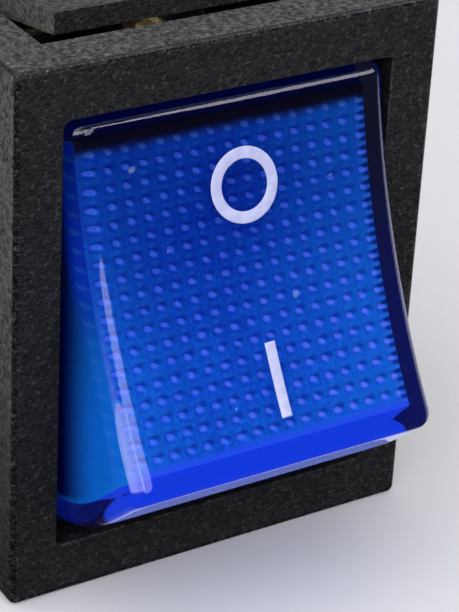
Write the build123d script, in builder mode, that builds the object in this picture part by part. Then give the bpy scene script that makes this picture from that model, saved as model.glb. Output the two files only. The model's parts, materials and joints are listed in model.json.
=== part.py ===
"""Illuminated snap-in rocker switch, 31 x 25 mm bezel, two poles, blue translucent rocker.

Frame: X runs across the bezel, Y runs into the panel, Z runs up along the bezel with the
O end on top. The origin is the centre of the panel seat, the rear face of the bezel.
The rocker is modelled with its O end pressed in, which is the open (off) position.
"""

import os
from math import asin, cos, radians, sin, sqrt

from build123d import *

# ---- driving dimensions, in millimetres and degrees ----

# bezel, the frame that stays in front of the panel
BEZEL_WIDTH = 25.0
BEZEL_LENGTH = 31.0
BEZEL_THICKNESS = 2.7
BEZEL_EDGE_RADIUS = 0.9
BEZEL_CORNER_RADIUS = 1.2

# body, the box that passes through the panel cut-out
BODY_WIDTH = 22.0
BODY_LENGTH = 28.0
BODY_DEPTH = 18.5
BODY_CORNER_RADIUS = 0.5
SIDE_WALL = 1.2
END_WALL = 1.5
FLOOR_THICKNESS = 3.0
APERTURE_CORNER_RADIUS = 0.5

# snap wings, sprung tongues cut into the two end walls
WING_WIDTH = 14.4
WING_RISE = 1.5
WING_SHOULDER_DEPTH = 3.3
WING_LENGTH = 9.5
WING_TIP_THICKNESS = 1.2
WING_SLOT = 0.8

# rocker lens, measured from its pivot axis
PIVOT_DEPTH = 1.35
TILT = 22.5
ROCKER_SIDE_GAP = 0.4
ROCKER_END_GAP = 0.5
END_FLAT_ANGLE = 20.0
FACE_HALF_LENGTH = 9.75
FACE_DISH = 1.13
SKIRT_DEPTH = 2.5
ROCKER_EDGE_RADIUS = 0.9
ROCKER_WALL = 1.4
ROCKER_SIDE_WALL = 1.0
TRUNNION_RADIUS = 1.25
TRUNNION_FIT = 0.05
TRUNNION_END_GAP = 0.15

# diffusing pips moulded under the face
PIP_PITCH_ACROSS = 1.0
PIP_PITCH_ALONG = 0.95
PIP_SIZE = 0.56
PIP_TOP_SIZE = 0.3
PIP_HEIGHT = 0.25
PIP_ROOT = 0.05

# lamp carrier, the pale insert inside the rocker
CARRIER_GAP = 0.1
CARRIER_PLATE = 1.2
CARRIER_RIM_HEIGHT = 3.2
CARRIER_RIM_WALL = 0.8
SADDLE_THICKNESS = 0.8
SADDLE_WALL = 0.6
SADDLE_INSET = 1.6
CHEEK_THICKNESS = 0.8
TUBE_LENGTH = 6.0
TUBE_WALL = 0.55

# plungers and their springs, one for each pole
POLE_SPACING = 9.8
PLUNGER_RADIUS = 1.5
PLUNGER_FIT = 0.05
PLUNGER_REACH = 10.5
PLUNGER_LENGTH = 7.0
PLUNGER_BORE_RADIUS = 1.05
PLUNGER_BORE_DEPTH = 4.0
SPRING_WIRE_RADIUS = 0.16
SPRING_WIRE_SIDES = 6
SPRING_COIL_GAP = 0.12
SPRING_TURNS = 5
SPRING_SEAT_GAP = 0.05

# seesaw contact bridges
BRIDGE_TILT = 9.0
BRIDGE_THICKNESS = 0.8
BRIDGE_WIDTH = 4.6
BRIDGE_TIP_GAP = 0.1
BRIDGE_ARM_RISE = 1.6
TROUGH_RADIUS = 5.7
CONTACT_ARM = 8.7
IDLE_ARM = 5.6
CONTACT_ARM_RADIUS = 7.3
WAIST_WIDTH = 3.6
WAIST_HALF_LENGTH = 0.75

# silver contacts
CONTACT_RADIUS = 1.35
CONTACT_THICKNESS = 0.6
CONTACT_DOME_RADIUS = 4.0
CONTACT_GAP = 0.05
RIVET_RADIUS = 0.6
RIVET_FIT = 0.02
RIVET_PEEN = 0.15

# blade terminals
TAB_WIDTH = 6.3
TAB_THICKNESS = 0.8
TAB_LENGTH = 10.5
TAB_TIP_CHAMFER = 1.2
TAB_HOLE_RADIUS = 0.9
TAB_HOLE_FROM_TIP = 4.2
LOAD_ROW = 10.0
SLOT_FIT = 0.05
FULCRUM_GAP = 0.07
EAR_RISE = 1.6
EAR_GAP = 0.12
SHELF_REACH = 4.4

# ribs and seats moulded inside the body
PARTITION_THICKNESS = 1.2
PARTITION_NEAR_DEPTH = 5.2
PARTITION_FAR_DEPTH = 10.0
PARTITION_NEAR_HALF_LENGTH = 5.0
PARTITION_FAR_HALF_LENGTH = 7.0
STOP_GAP = 0.1
STOP_POST_WIDTH = 1.1
STOP_POST_LENGTH = 3.4
SEAT_GAP = 0.03

# neon lamp, resistor and the wires that feed them
LAMP_RADIUS = 2.0
LAMP_LENGTH = 10.5
LAMP_TIP_RADIUS = 1.2
LAMP_ROW = 3.2
LAMP_GAP = 0.1
RESISTOR_RADIUS = 1.1
RESISTOR_LENGTH = 6.0
RESISTOR_END_RADIUS = 1.25
RESISTOR_END_LENGTH = 1.2
RESISTOR_END_CHAMFER = 0.2
RESISTOR_ROW = -3.6
LEAD_RADIUS = 0.25
LEAD_SPREAD = 1.1
LEAD_CLEARANCE = 0.12
WIRE_SIDES = 8
PAD_RADIUS = 1.3
PAD_THICKNESS = 0.6
PAD_SIDE_GAP = 0.1
FEED_WIRE_RADIUS = 0.25
FEED_GAP = 0.05
FEED_TIP_LENGTH = 1.6
FEED_FOOT_LENGTH = 2.4

# ---- places worked out from the driving dimensions ----

APERTURE_WIDTH = BODY_WIDTH - 2 * SIDE_WALL
APERTURE_LENGTH = BODY_LENGTH - 2 * END_WALL
FLOOR_DEPTH = BODY_DEPTH - FLOOR_THICKNESS
POLES = {"left": -POLE_SPACING / 2, "right": POLE_SPACING / 2}

ROCKER_HALF_WIDTH = APERTURE_WIDTH / 2 - ROCKER_SIDE_GAP
ROCKER_INNER_HALF_WIDTH = ROCKER_HALF_WIDTH - ROCKER_SIDE_WALL
END_RADIUS = APERTURE_LENGTH / 2 - ROCKER_END_GAP
FLAT_COS = cos(radians(END_FLAT_ANGLE))
FLAT_SIN = sin(radians(END_FLAT_ANGLE))
NOSE_HEIGHT = (END_RADIUS - FACE_HALF_LENGTH * FLAT_COS) / FLAT_SIN
FACE_CENTRE_HEIGHT = NOSE_HEIGHT - FACE_DISH
FACE_RADIUS = (FACE_HALF_LENGTH**2 + FACE_DISH**2) / (2 * FACE_DISH)
SKIRT_HALF_LENGTH = sqrt(END_RADIUS**2 - SKIRT_DEPTH**2)

BRIDGE_TOP_DEPTH = PIVOT_DEPTH + PLUNGER_REACH + BRIDGE_TIP_GAP
FULCRUM_DEPTH = BRIDGE_TOP_DEPTH + BRIDGE_THICKNESS
TROUGH_HALF = sqrt(TROUGH_RADIUS**2 - (TROUGH_RADIUS - BRIDGE_ARM_RISE) ** 2)
DOME_CENTRE = BRIDGE_ARM_RISE - CONTACT_THICKNESS + CONTACT_DOME_RADIUS
CLOSED_DEPTH = (
    FULCRUM_DEPTH
    - DOME_CENTRE * cos(radians(BRIDGE_TILT))
    + CONTACT_ARM_RADIUS * sin(radians(BRIDGE_TILT))
    + CONTACT_DOME_RADIUS
)
CONTACT_ROW = CONTACT_ARM_RADIUS * cos(radians(BRIDGE_TILT)) + DOME_CENTRE * sin(
    radians(BRIDGE_TILT)
)
FIXED_FACE_DEPTH = CLOSED_DEPTH + CONTACT_GAP
SHELF_DEPTH = FIXED_FACE_DEPTH + CONTACT_THICKNESS

PAD_X = ROCKER_INNER_HALF_WIDTH - PAD_SIDE_GAP - PAD_THICKNESS / 2
LAMP_HEIGHT = CARRIER_PLATE + LAMP_RADIUS + LAMP_GAP
RESISTOR_HEIGHT = CARRIER_PLATE + RESISTOR_END_RADIUS + LAMP_GAP


def depth_plane(depth):
    """Plane parallel to the panel, facing out of it, at a depth behind the panel seat."""
    return Plane.XZ.offset(-depth)


# the rocker's own axes at rest: local x across, local y towards the O end, local z outwards
ROCKER = Plane(
    origin=(0, PIVOT_DEPTH, 0),
    x_dir=(1, 0, 0),
    z_dir=(0, -cos(radians(TILT)), sin(radians(TILT))),
)


def rocker_side(x):
    """Side-view plane of the rocker at x: local x towards the O end, local y outwards."""
    return Plane(
        origin=ROCKER.origin + Vector(x, 0, 0), x_dir=ROCKER.y_dir, z_dir=ROCKER.x_dir
    )


def bridge_side(x):
    """Side-view plane of a bridge at x: origin on the fulcrum, local y towards the rocker."""
    lean = radians(BRIDGE_TILT)
    return Plane(
        origin=(x, FULCRUM_DEPTH, 0), x_dir=(0, -sin(lean), cos(lean)), z_dir=(1, 0, 0)
    )


def rocker_outline(skirt_depth):
    """Draws the rocker's side profile: dished face, flat noses and ends round the pivot."""
    nose = (FACE_HALF_LENGTH, NOSE_HEIGHT)
    nose_far = (-FACE_HALF_LENGTH, NOSE_HEIGHT)
    flat_foot = (END_RADIUS * FLAT_COS, END_RADIUS * FLAT_SIN)
    flat_foot_far = (-flat_foot[0], flat_foot[1])
    rim = (sqrt(END_RADIUS**2 - skirt_depth**2), -skirt_depth)
    rim_far = (-rim[0], rim[1])
    with BuildLine() as outline:
        ThreePointArc(nose_far, (0, FACE_CENTRE_HEIGHT), nose)
        Line(nose, flat_foot)
        ThreePointArc(flat_foot, (END_RADIUS, 0), rim)
        Line(rim, rim_far)
        ThreePointArc(rim_far, (-END_RADIUS, 0), flat_foot_far)
        Line(flat_foot_far, nose_far)
    return outline.line


# ---- housing: bezel, body, snap wings, partition and seats in one moulding ----

WING_ROOT_DEPTH = WING_SHOULDER_DEPTH + WING_LENGTH
STOP_TOP_DEPTH = (
    PIVOT_DEPTH
    + SKIRT_DEPTH * cos(radians(TILT))
    + SKIRT_HALF_LENGTH * sin(radians(TILT))
    + STOP_GAP
)
SEAT_DEPTH = SHELF_DEPTH + TAB_THICKNESS + SEAT_GAP
SEAT_OUTER_ROW = LOAD_ROW - TAB_THICKNESS / 2 - SEAT_GAP
SEAT_INNER_ROW = LOAD_ROW - SHELF_REACH
IDLE_STOP_ROW = IDLE_ARM - STOP_POST_WIDTH
IDLE_STOP_DEPTH = (
    FULCRUM_DEPTH
    - BRIDGE_ARM_RISE * cos(radians(BRIDGE_TILT))
    + IDLE_ARM * sin(radians(BRIDGE_TILT))
    + STOP_GAP
)

with BuildPart() as housing:
    # bezel, with its front edge rounded over
    with BuildSketch(depth_plane(0)):
        RectangleRounded(BEZEL_WIDTH, BEZEL_LENGTH, BEZEL_CORNER_RADIUS)
    extrude(amount=BEZEL_THICKNESS)
    fillet(housing.faces().sort_by(Axis.Y)[0].edges(), BEZEL_EDGE_RADIUS)

    # body box behind the bezel, hollowed from the front down to its floor
    with BuildSketch(depth_plane(0)):
        RectangleRounded(BODY_WIDTH, BODY_LENGTH, BODY_CORNER_RADIUS)
    extrude(amount=-BODY_DEPTH)
    with BuildSketch(depth_plane(-BEZEL_THICKNESS)):
        RectangleRounded(APERTURE_WIDTH, APERTURE_LENGTH, APERTURE_CORNER_RADIUS)
    extrude(amount=-(BEZEL_THICKNESS + FLOOR_DEPTH), mode=Mode.SUBTRACT)

    # snap wings: a U-shaped slot frees each tongue, whose shoulder faces the bezel
    for end_sign in (-1, 1):
        wall_outside = end_sign * BODY_LENGTH / 2
        wall_inside = end_sign * APERTURE_LENGTH / 2
        wing_top = wall_outside + end_sign * WING_RISE
        with BuildSketch(depth_plane(WING_SHOULDER_DEPTH - WING_SLOT)):
            with Locations((0, (wall_outside + wall_inside) / 2)):
                Rectangle(WING_WIDTH + 2 * WING_SLOT, END_WALL)
        extrude(amount=-(WING_LENGTH + WING_SLOT), mode=Mode.SUBTRACT)
        with BuildSketch(Plane.YZ):
            with BuildLine():
                Polyline(
                    (WING_SHOULDER_DEPTH, wing_top),
                    (WING_SHOULDER_DEPTH, wing_top - end_sign * WING_TIP_THICKNESS),
                    (WING_ROOT_DEPTH, wall_inside),
                    (WING_ROOT_DEPTH, wall_outside),
                    close=True,
                )
            make_face()
        extrude(amount=WING_WIDTH / 2, both=True)

    # insulating partition between the poles, stepped to clear the rocker's ends
    with BuildSketch(Plane.YZ):
        with BuildLine():
            Polyline(
                (FLOOR_DEPTH, APERTURE_LENGTH / 2),
                (PARTITION_FAR_DEPTH, APERTURE_LENGTH / 2),
                (PARTITION_FAR_DEPTH, PARTITION_FAR_HALF_LENGTH),
                (PARTITION_NEAR_DEPTH, PARTITION_NEAR_HALF_LENGTH),
                (PARTITION_NEAR_DEPTH, 0),
                (FLOOR_DEPTH, 0),
                close=True,
            )
        make_face()
        mirror(about=Plane.XZ)
    extrude(amount=PARTITION_THICKNESS / 2, both=True)

    # corner posts that stop the rocker's skirt at each end of its travel
    with BuildSketch(depth_plane(STOP_TOP_DEPTH)):
        with GridLocations(
            APERTURE_WIDTH - STOP_POST_WIDTH, APERTURE_LENGTH - STOP_POST_LENGTH, 2, 2
        ):
            Rectangle(STOP_POST_WIDTH, STOP_POST_LENGTH)
    extrude(amount=STOP_TOP_DEPTH - FLOOR_DEPTH)

    # seats under the load terminals' shelves
    with BuildSketch(depth_plane(SEAT_DEPTH)):
        for pole_x in POLES.values():
            with Locations((pole_x, (SEAT_OUTER_ROW + SEAT_INNER_ROW) / 2)):
                Rectangle(TAB_WIDTH, SEAT_OUTER_ROW - SEAT_INNER_ROW)
    extrude(amount=SEAT_DEPTH - FLOOR_DEPTH)

    # posts that stop the bridges' idle arms
    with BuildSketch(depth_plane(IDLE_STOP_DEPTH)):
        for pole_x in POLES.values():
            with Locations((pole_x, -IDLE_STOP_ROW)):
                Rectangle(TAB_WIDTH, STOP_POST_WIDTH)
    extrude(amount=IDLE_STOP_DEPTH - FLOOR_DEPTH)

    # slots through the floor for the common and the load blades
    with BuildSketch(depth_plane(BODY_DEPTH)):
        for pole_x in POLES.values():
            with Locations((pole_x, 0), (pole_x, LOAD_ROW)):
                Rectangle(TAB_WIDTH + 2 * SLOT_FIT, TAB_THICKNESS + 2 * SLOT_FIT)
    extrude(amount=BODY_DEPTH - SHELF_DEPTH, mode=Mode.SUBTRACT)

    # pivot holes through the side walls
    with BuildSketch(Plane.YZ.offset(-BODY_WIDTH / 2)):
        with Locations((PIVOT_DEPTH, 0)):
            Circle(TRUNNION_RADIUS + TRUNNION_FIT)
    extrude(amount=BODY_WIDTH, mode=Mode.SUBTRACT)
housing.part.label = "housing"


# ---- rocker: hollow translucent lens with a dished face, pips and two trunnions ----

INNER_FACE_RADIUS = FACE_RADIUS + ROCKER_WALL
INNER_FACE_HALF = FACE_HALF_LENGTH - ROCKER_WALL
PIP_COLUMNS = int((2 * ROCKER_INNER_HALF_WIDTH - PIP_SIZE) / PIP_PITCH_ACROSS) + 1
PIP_ROWS = int((2 * INNER_FACE_HALF - PIP_SIZE) / PIP_PITCH_ALONG) + 1
TRUNNION_LENGTH = BODY_WIDTH / 2 - TRUNNION_END_GAP - ROCKER_HALF_WIDTH
SAME_HEIGHT = 0.01


def pip_plane(column, row):
    """Plane on the inner face at one pip, facing into the rocker."""
    across = (column - (PIP_COLUMNS - 1) / 2) * PIP_PITCH_ACROSS
    along = (row - (PIP_ROWS - 1) / 2) * PIP_PITCH_ALONG
    lean = asin(along / INNER_FACE_RADIUS)
    height = FACE_CENTRE_HEIGHT + FACE_RADIUS - INNER_FACE_RADIUS * cos(lean)
    return Plane(
        origin=ROCKER.from_local_coords(Vector(across, along, height)),
        x_dir=(1, 0, 0),
        z_dir=ROCKER.y_dir * sin(lean) - ROCKER.z_dir * cos(lean),
    )


# one pip: a square stud with drawn-in sides, whose root sinks into the wall it stands on
with BuildPart() as pip:
    with BuildSketch(Plane.XY.offset(-PIP_ROOT)):
        Rectangle(PIP_SIZE, PIP_SIZE)
    extrude(amount=PIP_ROOT + PIP_HEIGHT)
    pip_top = pip.faces().sort_by(Axis.Z)[-1]
    chamfer(
        pip_top.edges(),
        length=(PIP_SIZE - PIP_TOP_SIZE) / 2,
        length2=PIP_HEIGHT + PIP_ROOT / 2,
        reference=pip_top,
    )

with BuildPart() as rocker:
    with BuildSketch(rocker_side(0)):
        add(rocker_outline(SKIRT_DEPTH))
        make_face()
    extrude(amount=ROCKER_HALF_WIDTH, both=True)

    # round every outer edge but the skirt's rim and the line where each end turns flat
    skirt_face = rocker.faces().sort_by(Axis(ROCKER.origin, ROCKER.z_dir))[0]
    flat_foot_height = END_RADIUS * FLAT_SIN
    outer_edges = rocker.edges().filter_by(
        lambda edge: not (
            edge in skirt_face.edges()
            or abs(ROCKER.to_local_coords(edge.center()).Z - flat_foot_height) < SAME_HEIGHT
        )
    )
    fillet(outer_edges, ROCKER_EDGE_RADIUS)

    # hollow it from the rear, leaving the side walls thinner than the face
    with BuildSketch(rocker_side(0)):
        add(rocker_outline(SKIRT_DEPTH + 2 * ROCKER_WALL))
        make_face()
        offset(amount=-ROCKER_WALL, kind=Kind.INTERSECTION)
    extrude(amount=ROCKER_INNER_HALF_WIDTH, both=True, mode=Mode.SUBTRACT)

    # the field of pips, square to the curve of the inner face
    pip_places = [(column, row) for row in range(PIP_ROWS) for column in range(PIP_COLUMNS)]
    with Locations(*[pip_plane(column, row) for column, row in pip_places]):
        add(pip.part)

    # trunnions, one on each side wall
    for side in (-1, 1):
        with BuildSketch(rocker_side(side * ROCKER_HALF_WIDTH)):
            Circle(TRUNNION_RADIUS)
        extrude(amount=side * TRUNNION_LENGTH)
rocker.part.label = "rocker"


# ---- lamp carrier: pale tray inside the rocker, with saddles and two plunger tubes ----

CARRIER_HALF_WIDTH = ROCKER_INNER_HALF_WIDTH - CARRIER_GAP
CARRIER_TOP = CARRIER_PLATE + CARRIER_RIM_HEIGHT
TUBE_BORE_RADIUS = PLUNGER_RADIUS + PLUNGER_FIT
PAD_INNER_X = PAD_X - PAD_THICKNESS / 2
NOTCH_TOP = PAD_RADIUS + 2 * LEAD_RADIUS + 2 * LAMP_GAP
NOTCH_LENGTH = max(CARRIER_RIM_WALL, CARRIER_HALF_WIDTH - PAD_INNER_X)

with BuildPart() as lamp_carrier:
    # tray that follows the inside of the rocker, then its hollow
    with BuildSketch(rocker_side(0)):
        add(rocker_outline(SKIRT_DEPTH + 2 * ROCKER_WALL))
        make_face()
        offset(amount=-(ROCKER_WALL + CARRIER_GAP), kind=Kind.INTERSECTION)
        with Locations((0, CARRIER_TOP / 2)):
            Rectangle(2 * END_RADIUS, CARRIER_TOP, mode=Mode.INTERSECT)
    extrude(amount=CARRIER_HALF_WIDTH, both=True)
    with BuildSketch(rocker_side(0)):
        add(rocker_outline(SKIRT_DEPTH + 2 * ROCKER_WALL))
        make_face()
        offset(
            amount=-(ROCKER_WALL + CARRIER_GAP + CARRIER_RIM_WALL), kind=Kind.INTERSECTION
        )
        with Locations((0, CARRIER_PLATE + CARRIER_TOP / 2)):
            Rectangle(2 * END_RADIUS, CARRIER_TOP, mode=Mode.INTERSECT)
    extrude(
        amount=CARRIER_HALF_WIDTH - CARRIER_RIM_WALL, both=True, mode=Mode.SUBTRACT
    )

    # saddles that hold the lamp and the resistor
    for row, height, radius, length in (
        (LAMP_ROW, LAMP_HEIGHT, LAMP_RADIUS, LAMP_LENGTH),
        (RESISTOR_ROW, RESISTOR_HEIGHT, RESISTOR_RADIUS, RESISTOR_LENGTH),
    ):
        saddle_x = length / 2 - SADDLE_INSET
        for x in (-saddle_x, saddle_x):
            with BuildSketch(rocker_side(x)):
                with Locations((row, height / 2)):
                    Rectangle(2 * (radius + LAMP_GAP + SADDLE_WALL), height)
                with Locations((row, height)):
                    Circle(radius + LAMP_GAP, mode=Mode.SUBTRACT)
            extrude(amount=SADDLE_THICKNESS / 2, both=True)

    # notches for the two contact pads, and the cheeks that carry them
    for side in (-1, 1):
        with BuildSketch(rocker_side(side * CARRIER_HALF_WIDTH)):
            Rectangle(2 * (PAD_RADIUS + LAMP_GAP), 2 * NOTCH_TOP)
        extrude(amount=-side * NOTCH_LENGTH, mode=Mode.SUBTRACT)
        with BuildSketch(rocker_side(side * PAD_INNER_X)):
            with Locations((0, (CARRIER_PLATE - PAD_RADIUS) / 2)):
                Rectangle(2 * PAD_RADIUS, CARRIER_PLATE + PAD_RADIUS)
        extrude(amount=-side * CHEEK_THICKNESS)

    # plunger tubes behind the tray, open to the rear
    with BuildSketch(ROCKER):
        with Locations(*[(pole_x, 0) for pole_x in POLES.values()]):
            Circle(TUBE_BORE_RADIUS + TUBE_WALL)
    extrude(amount=-TUBE_LENGTH)
    with BuildSketch(ROCKER):
        with Locations(*[(pole_x, 0) for pole_x in POLES.values()]):
            Circle(TUBE_BORE_RADIUS)
    extrude(amount=-TUBE_LENGTH, mode=Mode.SUBTRACT)
lamp_carrier.part.label = "lamp_carrier"


# ---- lamp, resistor and the wires that join them to the two contact pads ----


def rocker_point(x, along, height):
    """Point in the rocker's own axes, given in the switch's frame."""
    return ROCKER.from_local_coords(Vector(x, along, height))


def axial_plane(along, height):
    """Plane through a part that lies across the rocker: local x runs along the part."""
    return Plane(
        origin=rocker_point(0, along, height), x_dir=(1, 0, 0), z_dir=ROCKER.y_dir
    )


with BuildPart() as lamp_bulb:
    with BuildSketch(axial_plane(LAMP_ROW, LAMP_HEIGHT)):
        with BuildLine():
            half = LAMP_LENGTH / 2
            RadiusArc((-half, 0), (-half + LAMP_RADIUS, LAMP_RADIUS), LAMP_RADIUS)
            Line((-half + LAMP_RADIUS, LAMP_RADIUS), (half - LAMP_RADIUS, LAMP_RADIUS))
            Line((half - LAMP_RADIUS, LAMP_RADIUS), (half, LAMP_TIP_RADIUS))
            Line((half, LAMP_TIP_RADIUS), (half, 0))
            Line((half, 0), (-half, 0))
        make_face()
    revolve(axis=Axis(rocker_point(0, LAMP_ROW, LAMP_HEIGHT), ROCKER.x_dir))
lamp_bulb.part.label = "lamp_bulb"

with BuildPart() as lamp_resistor:
    with BuildSketch(Plane(rocker_point(0, RESISTOR_ROW, RESISTOR_HEIGHT), z_dir=(1, 0, 0))):
        Circle(RESISTOR_RADIUS)
    extrude(amount=RESISTOR_LENGTH / 2, both=True)
    for end in (-1, 1):
        cap_x = end * (RESISTOR_LENGTH - RESISTOR_END_LENGTH) / 2
        with BuildSketch(
            Plane(rocker_point(cap_x, RESISTOR_ROW, RESISTOR_HEIGHT), z_dir=(1, 0, 0))
        ):
            Circle(RESISTOR_END_RADIUS)
        extrude(amount=RESISTOR_END_LENGTH / 2, both=True)
    cap_rims = lamp_resistor.edges().filter_by(GeomType.CIRCLE).sort_by(Axis.X)
    chamfer([cap_rims[0], cap_rims[-1]], RESISTOR_END_CHAMFER)
lamp_resistor.part.label = "lamp_resistor"


def make_wire(label, points, bend_radius, wire_radius):
    """Wire along straight runs joined by bends of one radius."""
    with BuildPart() as wire:
        with BuildLine() as path:
            FilletPolyline(*points, radius=bend_radius)
        with BuildSketch(Plane(origin=path.line @ 0, z_dir=path.line % 0)):
            RegularPolygon(wire_radius, WIRE_SIDES)
        sweep()
    wire.part.label = label
    return wire.part


LEAD_OVER_PAD = PAD_RADIUS + LEAD_RADIUS + SEAT_GAP
LEAD_BEND = 2 * LEAD_RADIUS
LEAD_TURN_X = LAMP_LENGTH / 2 + LEAD_SPREAD
LINK_TURN_X = LEAD_TURN_X + 2 * LEAD_RADIUS + LEAD_CLEARANCE
LEAD_END_X = PAD_X + PAD_THICKNESS / 2
LAMP_HALF = LAMP_LENGTH / 2
RESISTOR_HALF = RESISTOR_LENGTH / 2
NEAR_WIRE_ROW = LAMP_ROW - LEAD_SPREAD / 2
FAR_WIRE_ROW = LAMP_ROW + LEAD_SPREAD / 2

lamp_lead_right = make_wire(
    "lamp_lead_right",
    [
        rocker_point(LAMP_HALF, NEAR_WIRE_ROW, LAMP_HEIGHT),
        rocker_point(LEAD_TURN_X, NEAR_WIRE_ROW, LAMP_HEIGHT),
        rocker_point(LEAD_TURN_X, 0, LEAD_OVER_PAD),
        rocker_point(LEAD_END_X, 0, LEAD_OVER_PAD),
    ],
    LEAD_BEND,
    LEAD_RADIUS,
)
lamp_link = make_wire(
    "lamp_link",
    [
        rocker_point(LAMP_HALF, FAR_WIRE_ROW, LAMP_HEIGHT),
        rocker_point(LINK_TURN_X, FAR_WIRE_ROW, LAMP_HEIGHT),
        rocker_point(LINK_TURN_X, RESISTOR_ROW, RESISTOR_HEIGHT),
        rocker_point(RESISTOR_HALF, RESISTOR_ROW, RESISTOR_HEIGHT),
    ],
    LEAD_BEND,
    LEAD_RADIUS,
)
lamp_lead_left = make_wire(
    "lamp_lead_left",
    [
        rocker_point(-RESISTOR_HALF, RESISTOR_ROW, RESISTOR_HEIGHT),
        rocker_point(-LEAD_TURN_X, RESISTOR_ROW, RESISTOR_HEIGHT),
        rocker_point(-LEAD_TURN_X, 0, LEAD_OVER_PAD),
        rocker_point(-LEAD_END_X, 0, LEAD_OVER_PAD),
    ],
    LEAD_BEND,
    LEAD_RADIUS,
)


def make_pad(name, side):
    """Round brass pad on the pivot axis, where a sprung wire feeds the lamp."""
    with BuildPart() as pad:
        with BuildSketch(rocker_side(side * PAD_INNER_X)):
            Circle(PAD_RADIUS)
        extrude(amount=side * PAD_THICKNESS)
    pad.part.label = f"lamp_pad_{name}"
    return pad.part


# ---- plungers and plunger springs ----


def make_plunger(name, pole_x):
    """Round-nosed plunger that slides in a carrier tube, bored from the front for its spring."""
    top = PLUNGER_LENGTH - PLUNGER_REACH
    bore_bottom = top - PLUNGER_BORE_DEPTH
    nose_top = PLUNGER_RADIUS - PLUNGER_REACH
    axis_plane = Plane(
        origin=rocker_point(pole_x, 0, 0), x_dir=(1, 0, 0), z_dir=-ROCKER.y_dir
    )
    with BuildPart() as plunger:
        with BuildSketch(axis_plane):
            with BuildLine():
                CenterArc((0, nose_top), PLUNGER_RADIUS, start_angle=-90, arc_size=90)
                Polyline(
                    (PLUNGER_RADIUS, nose_top),
                    (PLUNGER_RADIUS, top),
                    (PLUNGER_BORE_RADIUS, top),
                    (PLUNGER_BORE_RADIUS, bore_bottom),
                    (0, bore_bottom),
                    (0, -PLUNGER_REACH),
                )
            make_face()
        revolve(axis=Axis(rocker_point(pole_x, 0, 0), ROCKER.z_dir))
    plunger.part.label = f"plunger_{name}"
    return plunger.part


def make_plunger_spring(name, pole_x):
    """Compression spring between the tray and the bottom of the plunger's bore."""
    start = -SPRING_SEAT_GAP - SPRING_WIRE_RADIUS
    bore_bottom = PLUNGER_LENGTH - PLUNGER_REACH - PLUNGER_BORE_DEPTH
    finish = bore_bottom + SPRING_SEAT_GAP + SPRING_WIRE_RADIUS
    coil_radius = PLUNGER_BORE_RADIUS - SPRING_COIL_GAP - SPRING_WIRE_RADIUS
    with BuildPart() as spring:
        with BuildLine() as coil:
            Helix(
                pitch=(start - finish) / SPRING_TURNS,
                height=start - finish,
                radius=coil_radius,
                center=rocker_point(pole_x, 0, start),
                direction=-ROCKER.z_dir,
            )
        with BuildSketch(Plane(origin=coil.line @ 0, z_dir=coil.line % 0)):
            RegularPolygon(SPRING_WIRE_RADIUS, SPRING_WIRE_SIDES)
        sweep()
    spring.part.label = f"plunger_spring_{name}"
    return spring.part


# ---- contact bridges and contacts ----

UNDER_RADIUS = TROUGH_RADIUS + BRIDGE_THICKNESS
UNDER_HALF = sqrt(UNDER_RADIUS**2 - (UNDER_RADIUS - BRIDGE_ARM_RISE) ** 2)
ARM_TOP = BRIDGE_ARM_RISE + BRIDGE_THICKNESS


def make_bridge(name, pole_x):
    """Seesaw strip: a trough for the plunger, a contact arm and a shorter idle arm."""
    with BuildPart() as bridge:
        with BuildSketch(bridge_side(pole_x)):
            with BuildLine():
                Line((-IDLE_ARM, BRIDGE_ARM_RISE), (-UNDER_HALF, BRIDGE_ARM_RISE))
                ThreePointArc((-UNDER_HALF, BRIDGE_ARM_RISE), (0, 0), (UNDER_HALF, BRIDGE_ARM_RISE))
                Polyline(
                    (UNDER_HALF, BRIDGE_ARM_RISE),
                    (CONTACT_ARM, BRIDGE_ARM_RISE),
                    (CONTACT_ARM, ARM_TOP),
                    (TROUGH_HALF, ARM_TOP),
                )
                ThreePointArc((TROUGH_HALF, ARM_TOP), (0, BRIDGE_THICKNESS), (-TROUGH_HALF, ARM_TOP))
                Polyline(
                    (-TROUGH_HALF, ARM_TOP), (-IDLE_ARM, ARM_TOP), (-IDLE_ARM, BRIDGE_ARM_RISE)
                )
            make_face()
        extrude(amount=BRIDGE_WIDTH / 2, both=True)
        # waist between the two ears of the common terminal
        for side in (-1, 1):
            with BuildSketch(bridge_side(pole_x + side * WAIST_WIDTH / 2)):
                Rectangle(2 * WAIST_HALF_LENGTH, 2 * ARM_TOP)
            extrude(amount=side * BRIDGE_WIDTH, mode=Mode.SUBTRACT)
        # hole for the contact rivet
        hole_plane = Plane(
            origin=bridge_side(pole_x).from_local_coords(Vector(CONTACT_ARM_RADIUS, ARM_TOP, 0)),
            z_dir=bridge_side(pole_x).y_dir,
        )
        with BuildSketch(hole_plane):
            Circle(RIVET_RADIUS + RIVET_FIT)
        extrude(amount=-BRIDGE_THICKNESS, mode=Mode.SUBTRACT)
    bridge.part.label = f"contact_bridge_{name}"
    return bridge.part


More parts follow.
